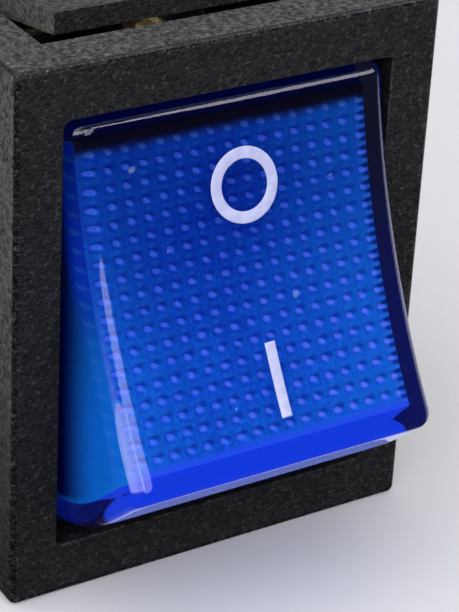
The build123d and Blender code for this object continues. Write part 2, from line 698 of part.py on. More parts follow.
def make_moving_contact(name, pole_x):
    """Silver rivet with a domed face, peened over on top of the bridge's contact arm."""
    side_plane = bridge_side(pole_x)
    face = BRIDGE_ARM_RISE - CONTACT_THICKNESS
    dome_edge = DOME_CENTRE - sqrt(CONTACT_DOME_RADIUS**2 - CONTACT_RADIUS**2)
    half_way = CONTACT_RADIUS / 2
    half_height = DOME_CENTRE - sqrt(CONTACT_DOME_RADIUS**2 - half_way**2)
    rivet_x = CONTACT_ARM_RADIUS
    peen_top = ARM_TOP + RIVET_PEEN
    peen_radius = RIVET_RADIUS + RIVET_PEEN
    with BuildPart() as contact:
        with BuildSketch(side_plane):
            with BuildLine():
                ThreePointArc(
                    (rivet_x, face),
                    (rivet_x + half_way, half_height),
                    (rivet_x + CONTACT_RADIUS, dome_edge),
                )
                Polyline(
                    (rivet_x + CONTACT_RADIUS, dome_edge),
                    (rivet_x + CONTACT_RADIUS, BRIDGE_ARM_RISE),
                    (rivet_x + RIVET_RADIUS, BRIDGE_ARM_RISE),
                    (rivet_x + RIVET_RADIUS, ARM_TOP),
                    (rivet_x + peen_radius, ARM_TOP),
                    (rivet_x + RIVET_RADIUS, peen_top),
                    (rivet_x, peen_top),
                    (rivet_x, face),
                )
            make_face()
        revolve(
            axis=Axis(side_plane.from_local_coords(Vector(rivet_x, 0, 0)), side_plane.y_dir)
        )
    contact.part.label = f"moving_contact_{name}"
    return contact.part


def make_fixed_contact(name, pole_x):
    """Silver rivet on the load terminal's shelf, flat on top and peened underneath."""
    with BuildPart() as contact:
        with BuildSketch(depth_plane(FIXED_FACE_DEPTH)):
            with Locations((pole_x, CONTACT_ROW)):
                Circle(CONTACT_RADIUS)
        extrude(amount=-CONTACT_THICKNESS)
        with BuildSketch(depth_plane(SHELF_DEPTH)):
            with Locations((pole_x, CONTACT_ROW)):
                Circle(RIVET_RADIUS)
        extrude(amount=-TAB_THICKNESS)
    contact.part.label = f"fixed_contact_{name}"
    return contact.part


# ---- terminals: flat blades for push-on receptacles ----

TAB_TIP_DEPTH = BODY_DEPTH + TAB_LENGTH
TAB_HOLE_DEPTH = TAB_TIP_DEPTH - TAB_HOLE_FROM_TIP
EAR_WIDTH = (TAB_WIDTH - WAIST_WIDTH) / 2 - EAR_GAP


def make_common_terminal(name, pole_x):
    """Straight blade whose inner end is the bridge's fulcrum, between two ears."""
    fulcrum = FULCRUM_DEPTH + FULCRUM_GAP
    ear_top = FULCRUM_DEPTH - EAR_RISE
    with BuildPart() as terminal:
        with BuildSketch(Plane.XY):
            with Locations((pole_x, (fulcrum + TAB_TIP_DEPTH) / 2)):
                blade = Rectangle(TAB_WIDTH, TAB_TIP_DEPTH - fulcrum)
            chamfer(blade.vertices().sort_by(Axis.Y)[-2:], TAB_TIP_CHAMFER)
            for side in (-1, 1):
                ear_x = pole_x + side * (TAB_WIDTH - EAR_WIDTH) / 2
                with Locations((ear_x, (ear_top + fulcrum) / 2)):
                    Rectangle(EAR_WIDTH, fulcrum - ear_top)
            with Locations((pole_x, TAB_HOLE_DEPTH)):
                Circle(TAB_HOLE_RADIUS, mode=Mode.SUBTRACT)
        extrude(amount=TAB_THICKNESS / 2, both=True)
    terminal.part.label = f"terminal_common_{name}"
    return terminal.part


def make_load_terminal(name, pole_x):
    """Blade bent over inside the body into a shelf that carries the fixed contact."""
    outer = LOAD_ROW + TAB_THICKNESS / 2
    inner = LOAD_ROW - TAB_THICKNESS / 2
    shelf_under = SHELF_DEPTH + TAB_THICKNESS
    with BuildPart() as terminal:
        with BuildSketch(Plane.YZ.offset(pole_x)):
            with BuildLine():
                Polyline(
                    (SHELF_DEPTH, SEAT_INNER_ROW),
                    (SHELF_DEPTH, outer),
                    (TAB_TIP_DEPTH, outer),
                    (TAB_TIP_DEPTH, inner),
                    (shelf_under, inner),
                    (shelf_under, SEAT_INNER_ROW),
                    close=True,
                )
            make_face()
        extrude(amount=TAB_WIDTH / 2, both=True)
        bend = terminal.edges().filter_by(Axis.X).sort_by(Axis.Y)[:2].sort_by(Axis.Z)[-1]
        fillet(bend, TAB_THICKNESS)
        tip_corners = terminal.edges().filter_by(Axis.Z).group_by(Axis.Y)[-1]
        chamfer(tip_corners, TAB_TIP_CHAMFER)
        with BuildSketch(Plane.XY.offset(inner)):
            with Locations((pole_x, TAB_HOLE_DEPTH)):
                Circle(TAB_HOLE_RADIUS)
        extrude(amount=TAB_THICKNESS, mode=Mode.SUBTRACT)
        with BuildSketch(depth_plane(SHELF_DEPTH)):
            with Locations((pole_x, CONTACT_ROW)):
                Circle(RIVET_RADIUS + RIVET_FIT)
        extrude(amount=-TAB_THICKNESS, mode=Mode.SUBTRACT)
    terminal.part.label = f"terminal_load_{name}"
    return terminal.part


def make_lamp_feed(name, side):
    """Sprung wire from a load terminal's shelf up to the contact pad on the pivot axis."""
    wire_x = side * PAD_X
    tip_depth = PIVOT_DEPTH + PAD_RADIUS + FEED_GAP + FEED_WIRE_RADIUS
    foot_depth = SHELF_DEPTH - SEAT_GAP - FEED_WIRE_RADIUS
    foot_row = LOAD_ROW - TAB_THICKNESS
    return make_wire(
        f"lamp_feed_{name}",
        [
            Vector(wire_x, tip_depth, -FEED_TIP_LENGTH / 2),
            Vector(wire_x, tip_depth, FEED_TIP_LENGTH / 2),
            Vector(wire_x, foot_depth, foot_row - FEED_FOOT_LENGTH),
            Vector(wire_x, foot_depth, foot_row),
        ],
        2 * FEED_WIRE_RADIUS,
        FEED_WIRE_RADIUS,
    )


# ---- write each piece ----

pieces = [
    housing.part,
    rocker.part,
    lamp_carrier.part,
    lamp_bulb.part,
    lamp_resistor.part,
    lamp_lead_left,
    lamp_lead_right,
    lamp_link,
]
for side_name, side_x in POLES.items():
    side_sign = 1 if side_x > 0 else -1
    pieces.append(make_pad(side_name, side_sign))
    pieces.append(make_lamp_feed(side_name, side_sign))
    pieces.append(make_plunger(side_name, side_x))
    pieces.append(make_plunger_spring(side_name, side_x))
    pieces.append(make_bridge(side_name, side_x))
    pieces.append(make_moving_contact(side_name, side_x))
    pieces.append(make_fixed_contact(side_name, side_x))
    pieces.append(make_common_terminal(side_name, side_x))
    pieces.append(make_load_terminal(side_name, side_x))

os.makedirs("parts", exist_ok=True)
for piece in pieces:
    export_step(piece, f"parts/{piece.label}.step")
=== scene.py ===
# %% [markdown]
# # A rocker switch, dressed
#
# The switch comes in as a finished CAD frame: black housing, blue rocker, contacts and blades,
# each in its own node. This lesson gives every surface its finish. Two pieces are modelled again:
# the clear blue rocker, because its look depends on light that goes through it, and the housing,
# for its crisper edges.

# %% Load the frame
import json
from math import asin, atan2, cos, pi, radians, sin, sqrt, tan

import bmesh
import bpy
import numpy as np
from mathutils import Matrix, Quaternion, Vector


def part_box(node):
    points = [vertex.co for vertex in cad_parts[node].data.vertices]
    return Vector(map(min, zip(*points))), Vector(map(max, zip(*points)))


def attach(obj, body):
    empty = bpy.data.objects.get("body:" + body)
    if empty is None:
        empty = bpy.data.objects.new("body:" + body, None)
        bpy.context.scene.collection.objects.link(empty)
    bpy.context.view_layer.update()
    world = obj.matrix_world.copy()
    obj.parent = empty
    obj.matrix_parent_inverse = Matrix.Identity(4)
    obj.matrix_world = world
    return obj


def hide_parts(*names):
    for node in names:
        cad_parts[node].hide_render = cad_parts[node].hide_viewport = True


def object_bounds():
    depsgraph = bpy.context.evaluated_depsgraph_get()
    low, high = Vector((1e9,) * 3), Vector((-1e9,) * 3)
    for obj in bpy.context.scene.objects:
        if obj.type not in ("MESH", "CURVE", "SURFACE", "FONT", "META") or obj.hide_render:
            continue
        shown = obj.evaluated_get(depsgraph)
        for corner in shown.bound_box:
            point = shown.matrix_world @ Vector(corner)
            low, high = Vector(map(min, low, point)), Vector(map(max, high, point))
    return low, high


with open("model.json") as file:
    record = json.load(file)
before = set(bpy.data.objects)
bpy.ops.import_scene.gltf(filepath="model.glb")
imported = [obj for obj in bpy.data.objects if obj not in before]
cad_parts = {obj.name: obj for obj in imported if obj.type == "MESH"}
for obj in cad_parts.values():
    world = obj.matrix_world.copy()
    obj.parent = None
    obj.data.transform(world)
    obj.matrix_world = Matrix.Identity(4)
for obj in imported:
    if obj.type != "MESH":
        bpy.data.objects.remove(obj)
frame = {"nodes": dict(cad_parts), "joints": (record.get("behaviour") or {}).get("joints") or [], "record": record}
cad_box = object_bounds()
MM = 0.001
print("nodes:", len(frame["nodes"]))

# %% [markdown]
# ## Small helpers
#
# Most meshes here are grids: rows of points along one parameter, columns along another. One
# helper turns an array of points into quads, so each piece is only a formula for its points.


# %% Grids to meshes
def grid_faces(rows, columns, closed=False):
    """Quads of a grid of rows x columns points, numbered row by row; closed joins the last
    column to the first."""
    r = np.arange(rows - 1)[:, None]
    c = np.arange(columns if closed else columns - 1)[None, :]
    here = r * columns + c
    beside = r * columns + (c + 1) % columns
    quads = np.stack([here, beside, beside + columns, here + columns], axis=-1)
    return quads.reshape(-1, 4)


def make_object(name, points, faces):
    """Object with smooth faces from an array of points in metres and a list of faces."""
    mesh = bpy.data.meshes.new(name)
    mesh.from_pydata(points.reshape(-1, 3), [], [list(face) for face in faces])
    mesh.shade_smooth()
    obj = bpy.data.objects.new(name, mesh)
    bpy.context.scene.collection.objects.link(obj)
    return obj


def report(obj):
    """Prints how large a piece's mesh is."""
    print(obj.name, len(obj.data.vertices), "points,", len(obj.data.polygons), "faces")


# %% [markdown]
# ## Node groups that several finishes share
#
# Moulded plastic, stamped metal and drawn wire all need the same few ingredients: a fine grain,
# broad uneven patches and small flecks. Each is a group with named sockets, built once and placed
# with other values in each material.


# %% A small language for node trees
class Tree:
    """Thin wrapper that adds nodes to a tree, sets their inputs and links them."""

    def __init__(self, tree):
        self.tree = tree

    def add(self, kind, settings=None, **inputs):
        """Adds a node; each named input takes a value or another node's output."""
        node = self.tree.nodes.new(kind)
        for key, value in (settings or {}).items():
            setattr(node, key, value)
        for key, value in inputs.items():
            socket = node.inputs[int(key[1:])] if key[1:].isdigit() else node.inputs[key.replace("_", " ")]
            self.feed(socket, value)
        return node

    def feed(self, socket, value):
        """Links an output to a socket, or writes a plain value on it."""
        if isinstance(value, bpy.types.NodeSocket):
            self.tree.links.new(value, socket)
        else:
            socket.default_value = value

    def maths(self, operation, a, b=0.0, c=0.0):
        """One arithmetic step, returned as its output."""
        node = self.add("ShaderNodeMath", {"operation": operation}, i0=a, i1=b, i2=c)
        return node.outputs[0]

    def ramp(self, value, low, high):
        """Value taken from low..high to 0..1, smoothly and clamped."""
        node = self.add("ShaderNodeMapRange", {"interpolation_type": "SMOOTHSTEP"},
                        Value=value, From_Min=low, From_Max=high)
        return node.outputs[0]

    def mix(self, factor, a, b):
        """Colour a where factor is 0, colour b where it is 1."""
        node = self.add("ShaderNodeMix", {"data_type": "RGBA"})
        self.feed(node.inputs[0], factor)
        self.feed(node.inputs[6], a)
        self.feed(node.inputs[7], b)
        return node.outputs[2]


def new_group(name, inputs, outputs):
    """Empty node group with named sockets; inputs map a name to its default."""
    group = bpy.data.node_groups.new(name, "ShaderNodeTree")
    for label, default in inputs.items():
        kind = "NodeSocketVector" if default is None else "NodeSocketFloat"
        socket = group.interface.new_socket(label, in_out="INPUT", socket_type=kind)
        if default is not None:
            socket.default_value = default
    for label in outputs:
        group.interface.new_socket(label, in_out="OUTPUT", socket_type="NodeSocketFloat")
    tree = Tree(group)
    return group, tree, tree.add("NodeGroupInput"), tree.add("NodeGroupOutput")


# %% The grain group
def build_grain():
    """Height of a spark-eroded mould surface: rounded pebbles of one size, crossed by shallow
    wrinkles; a mask of the few pebbles that shine; and a mask of the wrinkles' crests, which are
    thin lines where a slow, stirred noise passes through its middle value."""
    group, tree, given, out = new_group(
        "moulded_grain", {"Place": None, "Pebbles per mm": 5.0, "Wrinkle": 0.5},
        ["Height", "Glint", "Vein"],
    )
    scale = tree.maths("MULTIPLY", given.outputs["Pebbles per mm"], 1000.0)
    pebbles = tree.add("ShaderNodeTexVoronoi", {"feature": "SMOOTH_F1"},
                       Vector=given.outputs["Place"], Scale=scale, Smoothness=0.6, Randomness=1.0)
    coarse = tree.maths("MULTIPLY", scale, 0.42)
    wrinkles = tree.add("ShaderNodeTexNoise", Vector=given.outputs["Place"], Scale=coarse,
                        Detail=3.0, Roughness=0.55, Distortion=1.2)
    pebble_height = tree.maths("SUBTRACT", 1.0, pebbles.outputs["Distance"])
    crest = tree.maths("ABSOLUTE", tree.maths("SUBTRACT", wrinkles.outputs[0], 0.5))
    vein = tree.ramp(crest, 0.05, 0.0)
    wrinkle_height = tree.maths("MULTIPLY", vein, given.outputs["Wrinkle"])
    height = tree.maths("ADD", pebble_height, wrinkle_height)
    glint_noise = tree.add("ShaderNodeTexNoise", Vector=given.outputs["Place"],
                           Scale=tree.maths("MULTIPLY", scale, 0.7), Detail=2.0, Roughness=0.7)
    glint = tree.ramp(glint_noise.outputs[0], 0.56, 0.7)
    tree.feed(out.inputs["Height"], height)
    tree.feed(out.inputs["Glint"], glint)
    tree.feed(out.inputs["Vein"], vein)
    return group


def build_patches():
    """Broad, soft unevenness: one slow noise with a little detail, from 0 to 1."""
    group, tree, given, out = new_group("uneven_patches", {"Place": None, "Size mm": 4.0}, ["Patch"])
    scale = tree.maths("DIVIDE", 1000.0, given.outputs["Size mm"])
    noise = tree.add("ShaderNodeTexNoise", Vector=given.outputs["Place"], Scale=scale,
                     Detail=4.0, Roughness=0.6)
    tree.feed(out.inputs["Patch"], tree.ramp(noise.outputs[0], 0.3, 0.7))
    return group


GRAIN = build_grain()
PATCHES = build_patches()
print("groups:", [g.name for g in bpy.data.node_groups])


# %% Starting a material
def start_material(name):
    """New material: returns it, its tree wrapper, its shader and the object coordinates."""
    material = bpy.data.materials.new(name)
    material.use_nodes = True
    tree = Tree(material.node_tree)
    shader = material.node_tree.nodes["Principled BSDF"]
    place = tree.add("ShaderNodeTexCoord").outputs["Object"]
    return material, tree, shader, place


def place_group(tree, group, **inputs):
    """Puts a group into a material's tree with its own values."""
    node = tree.add("ShaderNodeGroup")
    node.node_tree = group
    for key, value in inputs.items():
        tree.feed(node.inputs[key.replace("_", " ")], value)
    return node


def add_bump(tree, shader, height, distance_mm, strength=1.0):
    """Feeds a height into the shader's normal."""
    bump = tree.add("ShaderNodeBump", Height=height, Strength=strength, Distance=distance_mm * MM)
    tree.feed(shader.inputs["Normal"], bump.outputs[0])


# %% [markdown]
# ## The black housing
#
# The mould of the bezel was spark-eroded, so its plastic has a fine pebbled skin with thin
# wrinkles that scatters light. The grain is bump and tone only: it is far too small to be worth
# triangles. The walls inside the opening are painted darker than the face, as painted shade.


# %% Housing plastic
OPENING_HALF_WIDTH = 9.9
OPENING_HALF_LENGTH = 12.9


def opening_shade_mask(tree, place):
    """1 inside the bezel's opening, 0 on the face and outside: a box in the housing's plane,
    from just under the face. It marks where the painted shade inside the opening goes."""
    axes = tree.add("ShaderNodeSeparateXYZ", Vector=place)
    across = tree.maths("ABSOLUTE", axes.outputs[0])
    up = tree.maths("ABSOLUTE", axes.outputs[2])
    inside = tree.maths("MULTIPLY",
                        tree.ramp(across, (OPENING_HALF_WIDTH + 0.05) * MM, OPENING_HALF_WIDTH * MM),
                        tree.ramp(up, (OPENING_HALF_LENGTH + 0.05) * MM, OPENING_HALF_LENGTH * MM))
    return tree.maths("MULTIPLY", inside, tree.ramp(axes.outputs[1], -2.65 * MM, -2.4 * MM))


def worn_edge(tree, place):
    """1 on the broken outer edge of the bezel, 0 elsewhere: near the outline and near the face."""
    axes = tree.add("ShaderNodeSeparateXYZ", Vector=place)
    side = tree.maths("SUBTRACT", BEZEL_HALF_WIDTH * MM, tree.maths("ABSOLUTE", axes.outputs[0]))
    end = tree.maths("SUBTRACT", BEZEL_HALF_LENGTH * MM, tree.maths("ABSOLUTE", axes.outputs[2]))
    depth = tree.maths("SUBTRACT", axes.outputs[1], housing_low.y * MM)
    reach = CRISP_EDGE * MM
    near = tree.ramp(tree.maths("MINIMUM", side, end), reach * 1.25, reach * 0.95)
    return tree.maths("MULTIPLY", near, tree.ramp(depth, reach * 1.25, reach * 0.95))


def housing_plastic():
    """Near-black polyamide with a pebbled skin in small dark and paler blotches, paler on the
    wrinkles' crests, and with a painted glint on the few pebbles that shine. The outer edge is
    rubbed smooth. Upward faces are paler in specks, partly a little dust and partly painted light
    from above; the sides are painted paler towards the top as painted light, and the walls inside
    the opening are painted darker as painted shade."""
    material, tree, shader, place = start_material("housing_plastic")
    grain = place_group(tree, GRAIN, Place=place, Pebbles_per_mm=4.2, Wrinkle=0.9)
    patch = place_group(tree, PATCHES, Place=place, Size_mm=0.7)
    broad = place_group(tree, PATCHES, Place=place, Size_mm=7.0)
    ground = tree.mix(patch.outputs[0], (0.0012, 0.0012, 0.0023, 1), (0.0062, 0.0062, 0.0068, 1))
    ground = tree.mix(tree.maths("MULTIPLY", broad.outputs[0], 0.35), ground, (0.002, 0.002, 0.003, 1))
    veined = tree.mix(tree.maths("MULTIPLY", grain.outputs["Vein"], 0.35), ground,
                      (0.024, 0.024, 0.025, 1))
    # Painted glint: paler colour on the few pebbles that shine.
    colour = tree.mix(tree.maths("MULTIPLY", grain.outputs["Glint"], 0.5), veined,
                      (0.058, 0.058, 0.056, 1))
    facing = tree.add("ShaderNodeSeparateXYZ", Vector=tree.add("ShaderNodeNewGeometry").outputs["Normal"])
    speck = tree.add("ShaderNodeTexNoise", Vector=place, Scale=3400.0, Detail=3.0, Roughness=0.7)
    # Upward faces paler in specks: partly a little dust, partly painted light from above.
    dust = tree.maths("MULTIPLY", tree.ramp(facing.outputs[2], 0.80, 0.97),
                      tree.ramp(speck.outputs[0], 0.30, 0.75))
    colour = tree.mix(tree.maths("MULTIPLY", dust, 0.75), colour, (0.120, 0.120, 0.114, 1))
    # Painted light: the sides are paler towards the top.
    level = tree.add("ShaderNodeSeparateXYZ", Vector=place).outputs[2]
    side_light = tree.maths("MULTIPLY", tree.ramp(tree.maths("ABSOLUTE", facing.outputs[0]), 0.80, 0.97),
                        tree.ramp(level, -0.018, 0.010))
    side_light = tree.maths("MULTIPLY", side_light, tree.ramp(speck.outputs[0], 0.25, 0.65))
    colour = tree.mix(tree.maths("MULTIPLY", side_light, 0.8), colour, (0.105, 0.105, 0.100, 1))
    # Painted shade: the walls inside the opening are darker than the face.
    inside = opening_shade_mask(tree, place)
    tree.feed(shader.inputs["Base Color"], tree.mix(inside, colour, (0.0020, 0.0020, 0.0035, 1)))
    rough = tree.maths("SUBTRACT", 0.62, tree.maths("MULTIPLY", grain.outputs["Glint"], 0.2))
    worn = worn_edge(tree, place)
    rough = tree.maths("SUBTRACT", rough, tree.maths("MULTIPLY", worn, 0.34))
    tree.feed(shader.inputs["Roughness"], rough)
    shader.inputs["Specular IOR Level"].default_value = 0.33
    calm = tree.maths("SUBTRACT", 1.0, tree.maths("MULTIPLY", worn, 0.6))
    add_bump(tree, shader, tree.maths("MULTIPLY", grain.outputs["Height"], calm), 0.06, 1.0)
    return material


# %% [markdown]
# ## Crisper edges for the bezel
#
# A moulded bezel's outer edge is broken by only a third of a millimetre, and it is this edge that
# draws one thin bright line under a lamp. The frame's solid is rounder there. So a copy of its
# mesh is merged, and the points of the rounded edge and of the four corners are moved along a
# formula: the middle part of each turn makes a tight arc, the rest runs straight up to it.

# %% Sizes of the bezel
SOFT_EDGE = 0.9
CRISP_EDGE = 0.3
SOFT_CORNER = 1.2
CRISP_CORNER = 0.45
LEAST_CORNER = 0.06
RUN_IN = 0.27
housing_low, housing_high = [Vector(corner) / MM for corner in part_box("housing")]
BEZEL_HALF_WIDTH = housing_high.x
BEZEL_HALF_LENGTH = housing_high.z
print("bezel", round(2 * BEZEL_HALF_WIDTH, 2), "x", round(2 * BEZEL_HALF_LENGTH, 2), "mm")


def tightened(turn, soft, crisp):
    """Distances inside a corner's two sides, for a turn from 0 to 1 between them: the first and
    last part of the turn run straight, the middle part is a quarter circle of radius crisp."""
    start = np.clip(turn / RUN_IN, 0, 1)
    stop = np.clip((1 - turn) / RUN_IN, 0, 1)
    bend = np.clip((turn - RUN_IN) / (1 - 2 * RUN_IN), 0, 1) * pi / 2
    first = (soft - crisp) * (1 - start) + crisp * (1 - np.sin(bend))
    second = (soft - crisp) * (1 - stop) + crisp * (1 - np.cos(bend))
    return first, second


def crisp_bezel(points):
    """Points of the housing in millimetres, with the bezel's edge and corners drawn tighter.
    Inset is the distance inside the bezel's outline, depth the distance behind its face."""
    x, depth, z = np.abs(points[:, 0]), points[:, 1] - housing_low.y, np.abs(points[:, 2])
    u, v = x - (BEZEL_HALF_WIDTH - SOFT_CORNER), z - (BEZEL_HALF_LENGTH - SOFT_CORNER)
    corner = (u > 1e-4) & (v > 1e-4)
    inset = np.where(corner, SOFT_CORNER - np.hypot(u, v),
                     np.minimum(BEZEL_HALF_WIDTH - x, BEZEL_HALF_LENGTH - z))
    edge = (depth < SOFT_EDGE + 1e-3) & (inset < SOFT_EDGE + 1e-3)
    turn = np.arctan2(np.maximum(SOFT_EDGE - inset, 0), np.maximum(SOFT_EDGE - depth, 0)) / (pi / 2)
    new_inset, new_depth = tightened(turn, SOFT_EDGE, CRISP_EDGE)
    sideways = BEZEL_HALF_WIDTH - x < BEZEL_HALF_LENGTH - z
    bezel = (depth < -housing_low.y + 1e-3) & (inset < SOFT_EDGE + 1e-3)
    moved_inset = np.where(edge, new_inset, inset)
    moved = points.copy()
    moved[:, 1] = np.where(edge, new_depth + housing_low.y, points[:, 1])
    round_corner = np.maximum(CRISP_CORNER - moved_inset, LEAST_CORNER)
    swing = np.clip(np.arctan2(v, u) / (pi / 2), 0, 1)
    along, beside = tightened(swing, SOFT_CORNER - moved_inset, round_corner)
    from_side = np.where(corner, moved_inset + beside, np.where(sideways, moved_inset, BEZEL_HALF_WIDTH - x))
    from_end = np.where(corner, moved_inset + along, np.where(sideways, BEZEL_HALF_LENGTH - z, moved_inset))
    moved[:, 0] = np.where(bezel, np.sign(points[:, 0]) * (BEZEL_HALF_WIDTH - from_side), points[:, 0])
    moved[:, 2] = np.where(bezel, np.sign(points[:, 2]) * (BEZEL_HALF_LENGTH - from_end), points[:, 2])
    return moved


# %% The housing piece
SHARP_TURN = radians(28)


def housing_piece():
    """The housing's mesh, merged, with a crisper bezel, smooth over small turns only."""
    shell = bmesh.new()
    shell.from_mesh(frame["nodes"]["housing"].data)
    bmesh.ops.remove_doubles(shell, verts=shell.verts, dist=1e-7)
    mesh = bpy.data.meshes.new("housing_shell")
    shell.to_mesh(mesh)
    points = np.empty(len(mesh.vertices) * 3)
    mesh.vertices.foreach_get("co", points)
    moved = crisp_bezel(points.reshape(-1, 3) / MM)
    print("housing points moved:", int((np.abs(moved * MM - points.reshape(-1, 3)).max(1) > 1e-6).sum()))
    mesh.vertices.foreach_set("co", (moved * MM).reshape(-1))
    mesh.update()
    shell.free()
    shell = bmesh.new()
    shell.from_mesh(mesh)
    for face in shell.faces:
        face.smooth = True
    for edge in shell.edges:
        edge.smooth = len(edge.link_faces) == 2 and edge.calc_face_angle() < SHARP_TURN
    print("housing open edges:", sum(1 for edge in shell.edges if not edge.is_manifold),
          "volume", round(shell.calc_volume(signed=True) / MM**3, 1))
    shell.to_mesh(mesh)
    shell.free()
    obj = bpy.data.objects.new("housing_shell", mesh)
    bpy.context.scene.collection.objects.link(obj)
    weighted = obj.modifiers.new("flat_faces_stay_flat", "WEIGHTED_NORMAL")
    weighted.keep_sharp = True
    return obj


HOUSING = housing_plastic()
housing = housing_piece()
housing.data.materials.clear()
housing.data.materials.append(HOUSING)
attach(housing, "housing")
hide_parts("housing")
report(housing)

# %% [markdown]
# ## The rocker's outline
#
# Seen from the side the rocker is one closed outline: ends that are arcs about the pivot, flat
# noses leaning in by twenty degrees, and a face dished to a large radius. Rounding an edge with
# a ball of one radius is the same as stacking inward offsets of that outline, so one function
# that gives the outline at any offset gives the whole outer skin.

# %% Sizes of the rocker, from the frame and the moulding
lens_low, lens_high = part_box("rocker")
pivot = Vector(next(j for j in frame["joints"] if j["name"] == "rocker_hinge")["pos_m"]) / MM
TILT = radians(22.5)
TRUNNION_REACH = lens_high.x / MM
TRUNNION_RADIUS = 1.25
HALF_WIDTH = 9.4
INNER_HALF_WIDTH = 8.4
END_RADIUS = 12.0
FLAT_ANGLE = radians(20.0)
FACE_HALF = 9.75
FACE_DISH = 1.13
SKIRT = 2.5
EDGE = 0.9
WALL = 1.4
NOSE_HEIGHT = (END_RADIUS - FACE_HALF * cos(FLAT_ANGLE)) / sin(FLAT_ANGLE)
FACE_RADIUS = (FACE_HALF**2 + FACE_DISH**2) / (2 * FACE_DISH)
FACE_CENTRE = NOSE_HEIGHT - FACE_DISH + FACE_RADIUS
print("face radius", round(FACE_RADIUS, 2), "nose height", round(NOSE_HEIGHT, 2))


def to_switch(x, along, height):
    """Rocker axes to the switch's frame, in metres: turn by the tilt about the pivot."""
    y = pivot.y - height * cos(TILT) + along * sin(TILT)
    z = pivot.z + height * sin(TILT) + along * cos(TILT)
    x, y, z = np.broadcast_arrays(x, y, z)
    return np.stack([x, y, z], axis=-1) * MM


# %% Outline at any offset
def arc(centre, radius, start, stop, count):
    """Points on a circle from one angle to another."""
    angle = np.linspace(start, stop, count)
    return np.stack([centre[0] + radius * np.cos(angle), centre[1] + radius * np.sin(angle)], -1)


def nose_centre(edge):
    """Centre of the ball that rounds the nose: on the flat's offset line, at the face arc's
    radius plus the ball's from the face's centre."""
    away = np.array([cos(FLAT_ANGLE), sin(FLAT_ANGLE)])
    along = np.array([-sin(FLAT_ANGLE), cos(FLAT_ANGLE)])
    foot = away * (END_RADIUS - edge) - np.array([0, FACE_CENTRE])
    b = foot @ along
    t = -b - sqrt(b * b - foot @ foot + (FACE_RADIUS + edge) ** 2)
    return away * (END_RADIUS - edge) + along * t


NOSE = nose_centre(EDGE)
NOSE_TURN = atan2(FACE_CENTRE - NOSE[1], -NOSE[0])


def half_outline(inset, counts=(14, 4, 9, 34)):
    """Half of the outline, from the skirt's rim to the middle of the face, offset inwards."""
    radius = END_RADIUS - inset
    rim = -asin(SKIRT / radius)
    away = np.array([cos(FLAT_ANGLE), sin(FLAT_ANGLE)])
    end = arc((0, 0), radius, rim, FLAT_ANGLE, counts[0])
    nose = arc(NOSE, EDGE - inset, FLAT_ANGLE, NOSE_TURN, counts[2])
    mix = np.linspace(0, 1, counts[1] + 2)[1:-1, None]
    flat = away * radius * (1 - mix) + nose[0] * mix
    lean = np.linspace(asin(nose[-1][0] / (FACE_RADIUS + inset)), 0, counts[3])[1:]
    face = np.stack([(FACE_RADIUS + inset) * np.sin(lean),
                     FACE_CENTRE - (FACE_RADIUS + inset) * np.cos(lean)], -1)
    return np.concatenate([end, flat, nose, face])


def whole_outline(inset):
    """The half outline and its mirror image, as one row of points from rim to rim."""
    half = half_outline(inset)
    return np.concatenate([half, half[-2::-1] * [-1, 1]])


print("outline points:", len(whole_outline(0)))


# %% Outer skin
def wall_rows(edge, count):
    """Rows of a flat side wall, from the rim up to its edge, without the edge itself. A rim point
    lies as far along the straight rim as its edge point lies along the edge."""
    steps = np.linalg.norm(np.diff(edge, axis=0), axis=1)
    share = np.concatenate([[0], np.cumsum(steps)]) / steps.sum()
    rim = np.stack([edge[0, 0] * (1 - 2 * share), np.full_like(share, -SKIRT)], axis=1)
    down = np.linspace(1, 0, count + 1)[:-1, None, None]
    return edge[None] * (1 - down) + rim[None] * down


def outer_skin():
    """Grid of the outer skin: down one side wall, round its edge, across, and back down.
    On the rounded edge the offset is the ball's radius times one minus the sine of the turn."""
    turn = np.linspace(0, pi / 2, 9)
    insets = EDGE * (1 - np.sin(turn))
    sides = HALF_WIDTH - EDGE + EDGE * np.cos(turn)
    side_rows = wall_rows(whole_outline(EDGE), 12)
    edge_rows = np.stack([whole_outline(i) for i in insets])
    across = np.linspace(HALF_WIDTH - EDGE, EDGE - HALF_WIDTH, 33)[1:-1]
    face_rows = np.repeat(whole_outline(0)[None], len(across), axis=0)
    profile = np.concatenate([side_rows, edge_rows, face_rows, edge_rows[::-1], side_rows[::-1]])
    x = np.concatenate([np.full(len(side_rows), HALF_WIDTH), sides, across, -sides[::-1],
                        np.full(len(side_rows), -HALF_WIDTH)])
    return to_switch(x[:, None], profile[..., 0], profile[..., 1])


# %% [markdown]
# ## The pips under the face
#
# The inner face carries a field of small studs that scatter the lamp's light. They are moulded
# at one pitch across and another along the curve. A stud's height is a function of the distance
# to its centre, so the whole field is one formula over a fine grid.

# %% Inner skin with pips
PITCH_ACROSS = 1.0
PITCH_ALONG = 0.95
ROW_SHIFT = -PITCH_ALONG / 2
PIP_SIZE = 0.56
PIP_TOP = 0.3
PIP_HEIGHT = 0.25
PIP_COLUMNS = 17
PIP_ROWS = 17
INNER_RADIUS = FACE_RADIUS + WALL
SKIN, CEILING, WALL_LIT, WALL_DARK, END_SKIN, RIM = range(6)


def pip_height(across, along):
    """Height of the studs: each is flat on top and falls smoothly to its foot; the distance is
    the fourth root of the two offsets' fourth powers added, as on a square with round corners."""
    column = np.clip(np.round(across / PITCH_ACROSS), -(PIP_COLUMNS // 2), PIP_COLUMNS // 2)
    row = np.clip(np.round((along - ROW_SHIFT) / PITCH_ALONG), -(PIP_ROWS // 2), PIP_ROWS // 2)
    dx = np.abs(across - column * PITCH_ACROSS)
    dy = np.abs(along - ROW_SHIFT - row * PITCH_ALONG)
    distance = (dx**4 + dy**4) ** 0.25
    fall = np.clip((PIP_SIZE / 2 - distance) / ((PIP_SIZE - PIP_TOP) / 2), 0, 1)
    return PIP_HEIGHT * fall * fall * (3 - 2 * fall)


